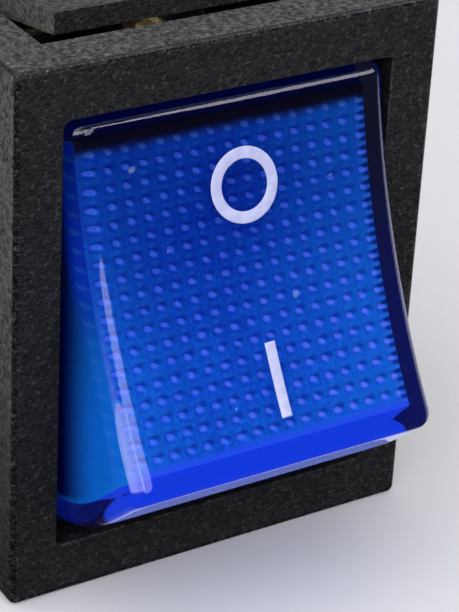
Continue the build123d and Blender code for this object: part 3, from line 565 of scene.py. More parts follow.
def inner_half():
    """Half of the inner outline: end wall, flat, and the place where the ceiling starts."""
    radius = END_RADIUS - WALL
    away = np.array([cos(FLAT_ANGLE), sin(FLAT_ANGLE)])
    along = np.array([-sin(FLAT_ANGLE), cos(FLAT_ANGLE)])
    foot = away * radius - np.array([0, FACE_CENTRE])
    b = foot @ along
    t = -b - sqrt(b * b - foot @ foot + INNER_RADIUS**2)
    corner = away * radius + along * t
    end = arc((0, 0), radius, -asin(SKIRT / radius), FLAT_ANGLE, 10)
    mix = np.linspace(0, 1, 8)[1:, None]
    return np.concatenate([end, away * radius * (1 - mix) + corner * mix])


def inner_skin():
    """Grid of the inner skin: the end walls and the ceiling, whose points are lowered by the
    studs' height along the ceiling's own normal, closed by the two side walls."""
    walls = inner_half()
    corner = walls[-1]
    reach = asin(corner[0] / INNER_RADIUS)
    lean = np.linspace(reach, -reach, 181)[1:-1]
    x = np.linspace(INNER_HALF_WIDTH, -INNER_HALF_WIDTH, 169)
    lift = pip_height(x[:, None], (np.sin(lean) * INNER_RADIUS)[None, :])
    lift[0] = lift[-1] = 0
    radius = INNER_RADIUS + lift
    ceiling = np.stack([radius * np.sin(lean), FACE_CENTRE - radius * np.cos(lean)], -1)
    near = np.repeat(walls[None], len(x), axis=0)
    far = near[:, ::-1] * [-1, 1]
    rows = np.concatenate([near, ceiling, far], axis=1)
    side = wall_rows(rows[0], 8)
    profile = np.concatenate([side, rows, side[::-1]])
    columns = np.concatenate([np.full(len(side), INNER_HALF_WIDTH), x,
                              np.full(len(side), -INNER_HALF_WIDTH)])
    start = len(walls) - 1
    finish = np.full((len(profile) - 1, profile.shape[1] - 1), WALL_LIT)
    finish[:, :profile.shape[1] // 2] = WALL_DARK
    finish[:len(side)] = WALL_DARK
    finish[-len(side):] = WALL_LIT
    finish[len(side):-len(side), start:start + len(lean) + 1] = CEILING
    place = np.concatenate([np.repeat(columns[:, None, None], profile.shape[1], axis=1), profile], -1)
    return to_switch(columns[:, None], profile[..., 0], profile[..., 1]), place, finish


# %% [markdown]
# ## One closed shell, six finishes
#
# The two skins and the flat rim between them make one closed shell, so light bends where it
# enters, as it does in the real moulding. The outer skin is clear, with a faint bloom on the flat
# at the I end. The inner surfaces are the frosted side of the mould and scatter light, so each has
# an opaque finish of its own, painted with the light and shade it shows and most with a painted
# glow: the field of studs, the walls painted lit, the walls painted in shade, and the rim. An
# attribute keeps each point's place in the rocker's own axes, in millimetres, and the patterns are
# drawn with it.


# %% Joining the skins
SIDE_ROWS = 16
BELOW_FLAT = 14
FLAT_COLUMNS = 5
LENS_TURN = radians(35)


def outer_finish(rows, columns):
    """Finish of each quad of the outer skin: clear, but for the flat at the I end, which has a
    faint bloom."""
    finish = np.full((rows - 1, columns - 1), SKIN)
    last = columns - BELOW_FLAT
    finish[SIDE_ROWS:-SIDE_ROWS, last - FLAT_COLUMNS:last] = END_SKIN
    return finish


def lens_shell():
    """The outer grid and the inner grid, turned to face the cavity, in one mesh; their open
    edges lie in the rim's plane and a flat ring of triangles closes them."""
    inner, place, inner_finish = inner_skin()
    outer = outer_skin()
    outer_faces = grid_faces(*outer.shape[:2])
    inner_faces = grid_faces(*inner.shape[:2])[:, ::-1] + outer.shape[0] * outer.shape[1]
    points = np.concatenate([outer.reshape(-1, 3), inner.reshape(-1, 3)])
    obj = make_object("rocker_lens", points, np.concatenate([outer_faces, inner_faces]))
    finish = np.concatenate([outer_finish(*outer.shape[:2]).reshape(-1), inner_finish.reshape(-1)])
    obj.data.polygons.foreach_set("material_index", finish)
    place = np.concatenate([np.zeros((outer.shape[0] * outer.shape[1], 3)), place.reshape(-1, 3)])
    attribute = obj.data.attributes.new("rocker_mm", "FLOAT_VECTOR", "POINT")
    attribute.data.foreach_set("vector", place.astype(np.float32).reshape(-1))
    return obj


def close_rim(obj):
    """Welds the seams, fills the ring between the two open edges, and turns the faces outwards."""
    shell = bmesh.new()
    shell.from_mesh(obj.data)
    bmesh.ops.remove_doubles(shell, verts=shell.verts, dist=1e-7)
    bmesh.ops.dissolve_degenerate(shell, edges=shell.edges, dist=1e-7)
    ring = [edge for edge in shell.edges if edge.is_boundary]
    filled = bmesh.ops.triangle_fill(shell, edges=ring, use_beauty=True)
    for face in filled["geom"]:
        if isinstance(face, bmesh.types.BMFace):
            face.material_index = RIM
    bmesh.ops.recalc_face_normals(shell, faces=shell.faces)
    for face in shell.faces:
        face.smooth = True
    for edge in shell.edges:
        turned = len(edge.link_faces) == 2 and edge.calc_face_angle() > LENS_TURN
        edge.smooth = not turned
    open_edges = sum(1 for edge in shell.edges if not edge.is_manifold)
    volume = shell.calc_volume(signed=True) / MM**3
    shell.to_mesh(obj.data)
    shell.free()
    print(obj.name, "open edges:", open_edges, "volume:", round(volume, 1), "cubic mm")


def outward(obj):
    """Turns a closed mesh's faces outwards."""
    shell = bmesh.new()
    shell.from_mesh(obj.data)
    bmesh.ops.recalc_face_normals(shell, faces=shell.faces)
    shell.to_mesh(obj.data)
    shell.free()


lens = lens_shell()
close_rim(lens)
report(lens)
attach(lens, "rocker")
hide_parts("rocker")


# %% Trunnion pegs
def lathe(name, profile, axis_point, turns=48):
    """A profile of (along the axis, radius) pairs turned about a line along X; both ends close
    on the axis."""
    angle = np.linspace(0, 2 * pi, turns, endpoint=False)
    x = np.repeat(profile[:, :1], turns, axis=1)
    y = profile[:, 1:] * np.cos(angle)
    z = profile[:, 1:] * np.sin(angle)
    points = np.stack([x, y, z], -1) * MM + np.array(axis_point)
    caps = [np.arange(turns)[::-1], (len(profile) - 1) * turns + np.arange(turns)]
    body = grid_faces(len(profile), turns, closed=True)[:, ::-1]
    return make_object(name, points, [list(f) for f in body] + [list(c) for c in caps])


PEG_CHAMFER = 0.15
for side, side_name in ((-1, "left"), (1, "right")):
    ends = np.array([
        [HALF_WIDTH - 0.02, TRUNNION_RADIUS],
        [TRUNNION_REACH - PEG_CHAMFER, TRUNNION_RADIUS],
        [TRUNNION_REACH, TRUNNION_RADIUS - PEG_CHAMFER],
    ])
    if side < 0:
        ends = ends[::-1] * [-1, 1]
    peg = lathe("rocker_peg_" + side_name, ends, pivot * MM, turns=40)
    outward(peg)
    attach(peg, "rocker")
    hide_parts("rocker")
    report(peg)

# %% [markdown]
# ## The O and the I
#
# The two marks are printed on the face in thick white ink. Each is a thin closed solid that
# follows the dish of the face: a ring carried round a circle, and a bar carried along a line.


# %% Points on the face
def face_point(x, along, lift):
    """Point on the dished face in metres, raised outwards by lift along the face's normal."""
    lean = np.arcsin(np.asarray(along) / FACE_RADIUS)
    radius = FACE_RADIUS - lift
    return to_switch(x, radius * np.sin(lean), FACE_CENTRE - radius * np.cos(lean))


INK = 0.022
INK_ROOT = -0.012
INK_SHOULDER = 0.02


def printed_ring(name, centre, inner, outer, turns=120):
    """A flat band with rounded shoulders carried round a circle on the face."""
    radius = np.array([inner, inner, inner + INK_SHOULDER, outer - INK_SHOULDER, outer, outer])
    lift = np.array([INK_ROOT, INK * 0.6, INK, INK, INK * 0.6, INK_ROOT])
    angle = np.linspace(0, 2 * pi, turns, endpoint=False)[:, None]
    x = centre[0] + radius * np.cos(angle)
    along = centre[1] + radius * np.sin(angle)
    points = face_point(x, along, lift[None, :])
    faces = grid_faces(turns + 1, len(radius), closed=True) % (turns * len(radius))
    return make_object(name, points, faces)


def printed_bar(name, centre, length, width, lean, count=40):
    """The same band carried along a straight line that leans by a small angle; ends closed."""
    half = width / 2
    side = np.array([-half, -half, INK_SHOULDER - half, half - INK_SHOULDER, half, half])
    lift = np.array([INK_ROOT, INK * 0.6, INK, INK, INK * 0.6, INK_ROOT])
    run = np.linspace(-length / 2, length / 2, count)[:, None]
    x = centre[0] + side * cos(lean) - run * sin(lean)
    along = centre[1] + side * sin(lean) + run * cos(lean)
    points = face_point(x, along, np.broadcast_to(lift, x.shape))
    size = len(side)
    caps = [np.arange(size)[::-1], (count - 1) * size + np.arange(size)]
    faces = [list(f) for f in grid_faces(count, size, closed=True)] + [list(c) for c in caps]
    return make_object(name, points, faces)


RING_CENTRE = (0.25, 4.92)
RING_INNER = 1.37
RING_OUTER = 2.0
BAR_CENTRE = (0.43, -5.4)
BAR_LENGTH = 4.0
BAR_WIDTH = 0.62
BAR_LEAN = radians(1.3)
mark_o = printed_ring("mark_o", RING_CENTRE, RING_INNER, RING_OUTER)
mark_i = printed_bar("mark_i", BAR_CENTRE, BAR_LENGTH, BAR_WIDTH, BAR_LEAN)
for mark in (mark_o, mark_i):
    outward(mark)
    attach(mark, "rocker")
    report(mark)

# %% [markdown]
# ## The clear blue plastic
#
# The moulding is clear blue polycarbonate, 1.4 mm thick, over frosted inner surfaces. The skin is
# true glass for the renderer, with a small waviness from the mould. What lies under it is lit by
# the sky through the skin and seen through it again, so a paint shows as paint times tint times
# daylight. The palette is therefore written as the colours that show, and divided back, so much of
# it is painted light and shade, and many inner finishes glow as painted light.


# %% Lens finishes
TINT = (0.42, 0.60, 1.0)
DAYLIGHT = 0.66


def under_skin(red, green, blue):
    """The paint that shows as the given colour under the tinted skin, held below 1."""
    return tuple(min(shown / (tint * DAYLIGHT), 1.0)
                 for shown, tint in zip((red, green, blue), TINT)) + (1.0,)


def lens_clear(name="lens_clear", bloom=0.0):
    """Clear blue polycarbonate: plain transmission, with a slow wave in the surface. Bloom is the
    pale film left where the mould's flat end was wiped, which shows only at a low angle."""
    material, tree, shader, place = start_material(name)
    shader.inputs["Sheen Weight"].default_value = bloom
    shader.inputs["Sheen Roughness"].default_value = 0.3
    shader.inputs["Sheen Tint"].default_value = (0.46, 0.57, 1.0, 1)
    shader.inputs["Base Color"].default_value = TINT + (1.0,)
    shader.inputs["Transmission Weight"].default_value = 1.0
    shader.inputs["IOR"].default_value = 1.52
    shader.inputs["Roughness"].default_value = 0.03
    wave = tree.add("ShaderNodeTexNoise", Vector=place, Scale=420.0, Detail=2.0, Roughness=0.5)
    add_bump(tree, shader, wave.outputs[0], 0.02, 0.35)
    return material


def rocker_axes(tree):
    """A point's place in the rocker's own axes, in millimetres: across, along and height."""
    kept = tree.add("ShaderNodeAttribute", {"attribute_name": "rocker_mm"})
    return tree.add("ShaderNodeSeparateXYZ", Vector=kept.outputs["Vector"])


def repeat(tree, value, pitch):
    """Offset from the nearest of a row of marks, as a share of their pitch, from -0.5 to 0.5."""
    share = tree.maths("ADD", tree.maths("DIVIDE", value, pitch), 100.5)
    return tree.maths("SUBTRACT", tree.maths("FRACT", share), 0.5)


def ellipse(tree, x, y, centre, halves, lean):
    """Distance from an ellipse's centre, 1 on its edge: each axis is turned by the lean and
    divided by its half length."""
    dx = tree.maths("SUBTRACT", x, centre[0])
    dy = tree.maths("SUBTRACT", y, centre[1])
    u = tree.maths("ADD", tree.maths("MULTIPLY", dx, cos(lean)), tree.maths("MULTIPLY", dy, sin(lean)))
    v = tree.maths("SUBTRACT", tree.maths("MULTIPLY", dy, cos(lean)), tree.maths("MULTIPLY", dx, sin(lean)))
    u = tree.maths("POWER", tree.maths("DIVIDE", u, halves[0]), 2.0)
    v = tree.maths("POWER", tree.maths("DIVIDE", v, halves[1]), 2.0)
    return tree.maths("SQRT", tree.maths("ADD", u, v))


# Painted light: FIELD_BRIGHT, FIELD_STUD, FIELD_PALE, FIELD_FOOT, WALL_RIM, WALL_CYAN, WALL_BLUE and WALL_VIVID;
# painted shade: FIELD_SHADE, WALL_BLACK, WALL_STRIP and WALL_NAVY; the GLOW colours are painted glow.
FIELD_DEEP = under_skin(0.0006, 0.030, 0.42)
FIELD_BRIGHT = under_skin(0.006, 0.140, 0.66)
FIELD_SHADE = under_skin(0.0004, 0.012, 0.26)
FIELD_STUD = under_skin(0.055, 0.18, 0.66)
FIELD_PALE = under_skin(0.125, 0.20, 0.66)
FIELD_DASH = under_skin(0.020, 0.15, 0.66)
STUD_GLOW = (0.016, 0.032, 0.20, 1)
FIELD_GLOW = (0.001, 0.010, 0.085, 1)
FIELD_FOOT = under_skin(0.012, 0.055, 0.66)
FOOT_GLOW = (0.010, 0.036, 0.26, 1)
WALL_BLACK = under_skin(0.0032, 0.0018, 0.012)
WALL_STRIP = under_skin(0.0004, 0.008, 0.16)
WALL_NAVY = under_skin(0.0010, 0.0014, 0.11)
WALL_RIM = under_skin(0.0004, 0.042, 0.66)
WALL_CYAN = under_skin(0.0010, 0.150, 0.66)
WALL_BLUE = under_skin(0.0008, 0.055, 0.40)
WALL_VIVID = under_skin(0.004, 0.010, 0.62)


FIELD_SIDE = 8.15
FLECK_LEAN = radians(35)


def flecks(tree, x, y, spots):
    """A mask of small lean flecks of dust at given places, each with its half length."""
    mask = 0.0
    for across, along, radius in spots:
        halves = (radius, radius * 0.7)
        spot = tree.ramp(ellipse(tree, x, y, (across, along), halves, FLECK_LEAN), 1.2, 0.6)
        mask = tree.maths("MAXIMUM", mask, spot)
    return mask


def lens_field():
    """Frosted face under the clear skin, with its light and shade painted in. The ground is deep
    blue in the middle and painted lighter at the left, the right and towards the I end. Each stud
    is a painted highlight, a pale lean ellipse, with painted shade beside it; a faint dash lies
    between two rows. The right border is painted shade between pale blobs. At the O end the field
    ends in painted black shade, and past the last row at the I end it is a plain strong blue of
    painted light. The studs, the ground towards the I end and that band glow as painted light."""
    material, tree, shader, place = start_material("lens_field")
    axes = rocker_axes(tree)
    across, along = axes.outputs[0], axes.outputs[1]
    wobble = tree.add("ShaderNodeTexNoise", Vector=place, Scale=800.0, Detail=1.0)
    shift = tree.maths("MULTIPLY", tree.maths("SUBTRACT", wobble.outputs[0], 0.5), 0.22)
    ripple = tree.add("ShaderNodeTexNoise", Vector=place, Scale=2600.0, Detail=2.0, Distortion=0.8)
    x = tree.maths("ADD", repeat(tree, across, PITCH_ACROSS), shift)
    y = tree.maths("ADD", repeat(tree, tree.maths("SUBTRACT", along, ROW_SHIFT), PITCH_ALONG), shift)
    between = repeat(tree, tree.maths("SUBTRACT", along, ROW_SHIFT + PITCH_ALONG / 2), PITCH_ALONG)
    between = tree.maths("ADD", between, shift)
    from_stud = ellipse(tree, x, y, (0.0, 0.0), (0.25, 0.155), radians(-33))
    # Painted highlight: the pale lean ellipse of each stud.
    stud = tree.maths("MULTIPLY", tree.ramp(from_stud, 1.35, 0.55), tree.ramp(across, -8.35, -8.15))
    ring = tree.ramp(from_stud, 0.5, 0.1)
    beside = tree.maths("SUBTRACT", across, FIELD_SIDE)
    twice = repeat(tree, tree.maths("SUBTRACT", along, ROW_SHIFT), PITCH_ALONG / 2)
    blob = tree.ramp(ellipse(tree, beside, twice, (0.0, 0.0), (0.34, 0.30), radians(20)), 1.3, 0.5)
    # Painted shade beside each stud.
    shade = tree.ramp(ellipse(tree, x, y, (0.27, 0.21), (0.26, 0.17), radians(-30)), 1.4, 0.2)
    dash = tree.ramp(ellipse(tree, x, between, (0.0, 0.0), (0.24, 0.09), radians(-8)), 1.4, 0.3)
    grain = place_group(tree, GRAIN, Place=place, Pebbles_per_mm=3.6, Wrinkle=0.5)
    patch = place_group(tree, PATCHES, Place=place, Size_mm=5.0)
    # Painted light: the ground is brighter towards the right, the left, the lower left and the I end.
    right = tree.ramp(across, -1.0, 8.6)
    low = tree.ramp(along, 5.0, -8.5)
    left = tree.ramp(across, -3.5, -8.4)
    low_left = tree.maths("MULTIPLY", left, tree.ramp(along, 6.0, -2.0))
    glow = tree.maths("ADD", tree.maths("MULTIPLY", right, 0.45), tree.maths("MULTIPLY", low, 0.38))
    glow = tree.maths("ADD", glow, tree.maths("MULTIPLY", left, 0.12))
    glow = tree.maths("ADD", glow, tree.maths("MULTIPLY", low_left, 0.25))
    glow = tree.maths("ADD", glow, tree.maths("MULTIPLY", patch.outputs[0], 0.15))
    glow = tree.maths("ADD", glow, tree.maths("MULTIPLY", tree.ramp(ripple.outputs[0], 0.45, 0.75), 0.20))
    veined = tree.maths("ADD", 0.14, tree.maths("MULTIPLY", low, 0.34))
    vein = tree.maths("MULTIPLY", grain.outputs["Vein"], veined)
    glow = tree.maths("ADD", glow, vein)
    ground = tree.mix(glow, FIELD_DEEP, FIELD_BRIGHT)
    deep = tree.maths("ADD", 0.28, tree.maths("MULTIPLY", low, 0.32))
    dark = tree.mix(tree.maths("MULTIPLY", shade, deep), ground, FIELD_SHADE)
    faint = tree.maths("ADD", 0.14, tree.maths("MULTIPLY", glow, 0.35))
    dashed = tree.mix(tree.maths("MULTIPLY", dash, faint), dark, FIELD_DASH)
    dashed = tree.mix(tree.maths("MULTIPLY", blob, 0.6), dashed, FIELD_DASH)
    strength = tree.maths("ADD", 0.60, tree.maths("MULTIPLY", glow, 0.5))
    strength = tree.maths("SUBTRACT", strength, tree.maths("MULTIPLY", ring, 0.26))
    stud = tree.maths("MULTIPLY", stud, strength)
    paler = tree.maths("MULTIPLY", tree.ramp(along, 6.0, -6.0), tree.ramp(across, -9.0, 4.0))
    colour = tree.mix(stud, dashed, tree.mix(paler, FIELD_STUD, FIELD_PALE))
    # Painted shade: the right border is dark between the pale blobs.
    border = tree.maths("MULTIPLY", tree.ramp(across, 7.90, 8.20), tree.maths("SUBTRACT", 1.0, blob))
    colour = tree.mix(tree.maths("MULTIPLY", border, 0.85), colour, WALL_NAVY)
    # Painted light: a plain strong blue band past the last row at the I end.
    foot = tree.ramp(tree.maths("ADD", along, tree.maths("MULTIPLY", shift, 1.5)), -8.3, -8.75)
    colour = tree.mix(foot, colour, FIELD_FOOT)
    dust = flecks(tree, across, along, ((-5.7, 6.9, 0.22), (-4.1, 2.3, 0.13), (3.0, -1.5, 0.24),
                                        (6.1, 4.4, 0.10), (-1.9, -6.6, 0.10)))
    colour = tree.mix(tree.maths("MULTIPLY", dust, 0.8), colour, (0.9, 0.9, 0.95, 1))
    # Painted shade: the field turns black at the O end.
    edge = tree.ramp(tree.maths("ADD", along, tree.maths("MULTIPLY", shift, 2.0)), 7.75, 8.5)
    tree.feed(shader.inputs["Base Color"], tree.mix(edge, colour, WALL_BLACK))
    # Painted glow: the studs, the ground towards the I end and the band past the last row emit light.
    lit = tree.maths("MULTIPLY", tree.maths("MULTIPLY", stud, tree.maths("SUBTRACT", 1.0, edge)),
                     tree.maths("SUBTRACT", 1.0, foot))
    shining = tree.mix(lit, tree.mix(low, (0.0, 0.0, 0.0, 1), FIELD_GLOW), STUD_GLOW)
    tree.feed(shader.inputs["Emission Color"], tree.mix(foot, shining, FOOT_GLOW))
    shader.inputs["Emission Strength"].default_value = 1.0
    shader.inputs["Roughness"].default_value = 0.6
    shader.inputs["Specular IOR Level"].default_value = 0.1
    return material


# Painted glow: the colours the inner walls and the rim emit; RIM_DEEP and RIM_BRIGHT also colour the rim.
CYAN_GLOW = (0.0004, 0.045, 0.16, 1)
END_GLOW = (0.007, 0.050, 0.52, 1)
RIM_DEEP = (0.0004, 0.0020, 0.070, 1)
RIM_BRIGHT = (0.0008, 0.0050, 0.110, 1)


def lens_wall_lit():
    """Frosted inner walls that face the light, with that light painted in. The left one runs from
    navy at its top, painted shade, to cyan, painted light, with a row of pale dots under the face
    where the studs end and a ragged cyan line at its foot, a painted glint; the wall at the I end
    is an even strong blue of painted light that fades to navy low down, painted shade. Both glow
    in parts as painted light."""
    material, tree, shader, place = start_material("lens_wall_lit")
    axes = rocker_axes(tree)
    across, along, height = axes.outputs[0], axes.outputs[1], axes.outputs[2]
    patch = place_group(tree, PATCHES, Place=place, Size_mm=3.0)
    # Painted light and shade: cyan high on the wall, navy low down and towards the O end.
    cyan = tree.mix(tree.maths("MULTIPLY", patch.outputs[0], 0.3), WALL_CYAN, WALL_BLUE)
    rise = tree.ramp(tree.maths("ADD", height, tree.maths("MULTIPLY", along, -0.35)), 2.7, 7.0)
    wall = tree.mix(rise, WALL_NAVY, cyan)
    dot_along = repeat(tree, tree.maths("SUBTRACT", along, ROW_SHIFT), PITCH_ALONG)
    dish = tree.maths("MULTIPLY", tree.maths("MULTIPLY", along, along), 0.5 / INNER_RADIUS)
    below = tree.maths("SUBTRACT", height, tree.maths("ADD", dish, FACE_CENTRE - INNER_RADIUS))
    # Painted light: a brighter blue just under the face, on the O end's half.
    rim = tree.maths("MULTIPLY", tree.ramp(below, -1.6, -0.4), tree.ramp(along, -3.0, 3.0))
    wall = tree.mix(rim, wall, WALL_RIM)
    dots = tree.ramp(ellipse(tree, dot_along, below, (0.0, -0.30), (0.34, 0.12), radians(-45)), 1.4, 0.4)
    wall = tree.mix(tree.maths("MULTIPLY", dots, 0.55), wall, FIELD_DASH)
    flat_part = tree.maths("MULTIPLY", along, along)
    upright_part = tree.maths("MULTIPLY", height, height)
    out = tree.maths("SQRT", tree.maths("ADD", flat_part, upright_part))
    ragged = tree.add("ShaderNodeTexNoise", Vector=place, Scale=1500.0, Detail=2.0)
    uneven = tree.maths("MULTIPLY", tree.maths("SUBTRACT", ragged.outputs[0], 0.5), 0.5)
    line = tree.maths("ADD", out, uneven)
    # Painted glint: a ragged cyan line along the wall's foot at the I end.
    foot = tree.maths("MULTIPLY", tree.ramp(line, 10.15, 10.45), tree.ramp(along, -5.0, -7.0))
    wall = tree.mix(tree.maths("MULTIPLY", foot, 0.7), wall, WALL_CYAN)
    # Painted light on the wall at the I end, fading to painted shade low down.
    side = tree.ramp(across, -8.35, -8.39)
    low = tree.ramp(height, 2.9, 1.9)
    end = tree.mix(low, WALL_VIVID, WALL_NAVY)
    tree.feed(shader.inputs["Base Color"], tree.mix(side, end, wall))
    # Painted glow: the side wall towards the I end, and the I-end wall above its low part.
    near_end = tree.maths("MULTIPLY", rise, tree.ramp(along, 0.0, -7.0))
    wall_glow = tree.mix(near_end, (0.0, 0.0, 0.0, 1), CYAN_GLOW)
    end_glow = tree.mix(low, END_GLOW, (0.0, 0.0, 0.01, 1))
    tree.feed(shader.inputs["Emission Color"], tree.mix(side, end_glow, wall_glow))
    shader.inputs["Emission Strength"].default_value = 1.0
    shader.inputs["Roughness"].default_value = 0.6
    shader.inputs["Specular IOR Level"].default_value = 0.1
    return material


def lens_wall_dark():
    """Inner walls painted in shade, as they see only the black housing: near black with a breath of
    navy, and a deeper navy low on the wall at the O end. They glow faintly navy as painted light."""
    material, tree, shader, place = start_material("lens_wall_dark")
    axes = rocker_axes(tree)
    along = axes.outputs[1]
    patch = place_group(tree, PATCHES, Place=place, Size_mm=2.0)
    # Painted shade: near black walls, navy on the right wall towards the I end, and a deeper navy low on the wall
    # at the O end.
    low = tree.ramp(axes.outputs[2], 6.6, 5.8)
    end = tree.ramp(axes.outputs[0], 8.39, 8.35)
    right = tree.mix(tree.ramp(along, 6.0, -6.0), WALL_BLACK, WALL_NAVY)
    right = tree.mix(tree.maths("MULTIPLY", patch.outputs[0], 0.4), right, WALL_BLACK)
    wall = tree.mix(end, right, WALL_BLACK)
    tree.feed(shader.inputs["Base Color"], tree.mix(tree.maths("MULTIPLY", low, end), wall, WALL_STRIP))
    # Painted glow: faint on the right wall, bluer towards the I end, and fainter low at the O end.
    side_glow = tree.mix(tree.ramp(along, 7.0, -5.0), (0.008, 0.007, 0.016, 1), (0.006, 0.008, 0.070, 1))
    glow = tree.mix(end, side_glow, (0.0, 0.0, 0.0, 1))
    tree.feed(shader.inputs["Emission Color"],
              tree.mix(tree.maths("MULTIPLY", low, end), glow, (0.0, 0.0002, 0.010, 1)))
    shader.inputs["Emission Strength"].default_value = 1.0
    shader.inputs["Roughness"].default_value = 0.6
    shader.inputs["Specular IOR Level"].default_value = 0.1
    return material


def lens_rim():
    """The shell's flat rim, deep in the housing: an even blue that glows, painted light that fills the clear
    thickness.
    """
    material, tree, shader, place = start_material("lens_rim")
    patch = place_group(tree, PATCHES, Place=place, Size_mm=3.0)
    # Painted glow: the rim emits an even blue.
    tree.feed(shader.inputs["Base Color"], tree.mix(patch.outputs[0], RIM_DEEP, RIM_BRIGHT))
    tree.feed(shader.inputs["Emission Color"], tree.mix(patch.outputs[0], RIM_DEEP, RIM_BRIGHT))
    shader.inputs["Emission Strength"].default_value = 1.0
    shader.inputs["Roughness"].default_value = 0.6
    return material


def mark_ink():
    """Thick white screen ink, very slightly mottled."""
    material, tree, shader, place = start_material("mark_ink")
    patch = place_group(tree, PATCHES, Place=place, Size_mm=0.5)
    tree.feed(shader.inputs["Base Color"],
              tree.mix(patch.outputs[0], (0.30, 0.32, 0.50, 1), (0.37, 0.39, 0.57, 1)))
    shader.inputs["Roughness"].default_value = 0.45
    return material


CLEAR = lens_clear()
INK_FINISH = mark_ink()
for finish in (CLEAR, lens_field(), lens_wall_lit(), lens_wall_dark(), lens_clear("lens_clear_end", 0.32),
               lens_rim()):
    lens.data.materials.append(finish)
for peg_name in ("rocker_peg_left", "rocker_peg_right"):
    bpy.data.objects[peg_name].data.materials.append(CLEAR)
for mark in (mark_o, mark_i):
    mark.data.materials.append(INK_FINISH)

# %% [markdown]
# ## Parts behind the face
#
# The working parts are hidden at rest, but the rocker turns and the body is open at the rear, so
# each has the finish of its real material: drawn wire, brass, copper, silver, glass and nylon.


# %% Metals and the rest
def metal(name, light, dark, rough, scratch_scale=1.0):
    """Bare metal: two tones in broad patches, fine drawn scratches and a patchy gloss."""
    material, tree, shader, place = start_material(name)
    patch = place_group(tree, PATCHES, Place=place, Size_mm=2.5)
    fine = tree.add("ShaderNodeTexNoise", Vector=place, Scale=2600.0 * scratch_scale, Detail=3.0)
    tree.feed(shader.inputs["Base Color"], tree.mix(patch.outputs[0], dark, light))
    shader.inputs["Metallic"].default_value = 1.0
    worn = tree.maths("ADD", rough, tree.maths("MULTIPLY", fine.outputs[0], 0.14))
    tree.feed(shader.inputs["Roughness"], worn)
    add_bump(tree, shader, fine.outputs[0], 0.008, 0.5)
    return material


def moulded(name, light, dark, rough):
    """Plain moulded plastic: two close tones, a satin skin and a little flow unevenness."""
    material, tree, shader, place = start_material(name)
    patch = place_group(tree, PATCHES, Place=place, Size_mm=3.0)
    grain = place_group(tree, GRAIN, Place=place, Pebbles_per_mm=8.0, Wrinkle=0.4)
    tree.feed(shader.inputs["Base Color"], tree.mix(patch.outputs[0], dark, light))
    shader.inputs["Roughness"].default_value = rough
    add_bump(tree, shader, grain.outputs["Height"], 0.01, 0.5)
    return material


def bulb_glass():
    """Thin clear glass of the lamp, a little cloudy."""
    material, tree, shader, place = start_material("lamp_glass")
    shader.inputs["Base Color"].default_value = (0.93, 0.93, 0.90, 1)
    shader.inputs["Transmission Weight"].default_value = 1.0
    shader.inputs["IOR"].default_value = 1.5
    patch = place_group(tree, PATCHES, Place=place, Size_mm=1.0)
    tree.feed(shader.inputs["Roughness"], tree.maths("MULTIPLY", patch.outputs[0], 0.2))
    return material


def resistor_paint():
    """Tan lacquer with coloured rings at fixed places along the body."""
    material, tree, shader, place = start_material("resistor_body")
    axes = tree.add("ShaderNodeSeparateXYZ", Vector=place)
    colour = (0.52, 0.38, 0.22, 1)
    rings = ((-1.6, (0.55, 0.25, 0.02, 1)), (-0.7, (0.30, 0.05, 0.02, 1)),
             (0.2, (0.70, 0.55, 0.05, 1)), (1.5, (0.45, 0.30, 0.06, 1)))
    for centre, ring in rings:
        away = tree.maths("ABSOLUTE", tree.maths("SUBTRACT", axes.outputs[0], centre * MM))
        colour = tree.mix(tree.ramp(away, 0.26 * MM, 0.22 * MM), colour, ring)
    tree.feed(shader.inputs["Base Color"], colour)
    shader.inputs["Roughness"].default_value = 0.35
    grain = place_group(tree, GRAIN, Place=place, Pebbles_per_mm=6.0, Wrinkle=0.4)
    add_bump(tree, shader, grain.outputs["Height"], 0.01, 0.4)
    return material


FINISHES = {
    "carrier_plastic": moulded("carrier_plastic", (0.80, 0.82, 0.82, 1), (0.70, 0.73, 0.74, 1), 0.42),
    "plunger_plastic": moulded("plunger_plastic", (0.80, 0.79, 0.72, 1), (0.72, 0.70, 0.62, 1), 0.38),
    "lamp_glass": bulb_glass(),
    "resistor_body": resistor_paint(),
    "tinned_wire": metal("tinned_wire", (0.62, 0.63, 0.65, 1), (0.48, 0.48, 0.50, 1), 0.25),
    "lamp_brass": metal("lamp_brass", (0.72, 0.52, 0.22, 1), (0.56, 0.37, 0.13, 1), 0.22),
    "spring_steel": metal("spring_steel", (0.50, 0.51, 0.53, 1), (0.36, 0.37, 0.39, 1), 0.2),
    "bridge_copper": metal("bridge_copper", (0.78, 0.44, 0.27, 1), (0.58, 0.27, 0.15, 1), 0.25),
    "contact_silver": metal("contact_silver", (0.82, 0.82, 0.80, 1), (0.62, 0.61, 0.58, 1), 0.22),
    "terminal_brass": metal("terminal_brass", (0.76, 0.58, 0.28, 1), (0.60, 0.42, 0.18, 1), 0.24),
}
slots = {part["node"]: part["material_slot"] for part in frame["record"]["subparts"]}
for node_name, node in frame["nodes"].items():
    slot_name = slots[node_name]
    finish = FINISHES.get(slot_name)
    print(node_name, "->", slot_name)
    if finish is not None:
        node.data.materials.clear()
        node.data.materials.append(finish)

# %% [markdown]
# ## Floor, light and camera
#
# The switch stands upright on its bezel's lower edge on a pale floor. A soft sky with a brighter
# upper left lights it, and three soft panels draw the thin bright lines along the clear edges.

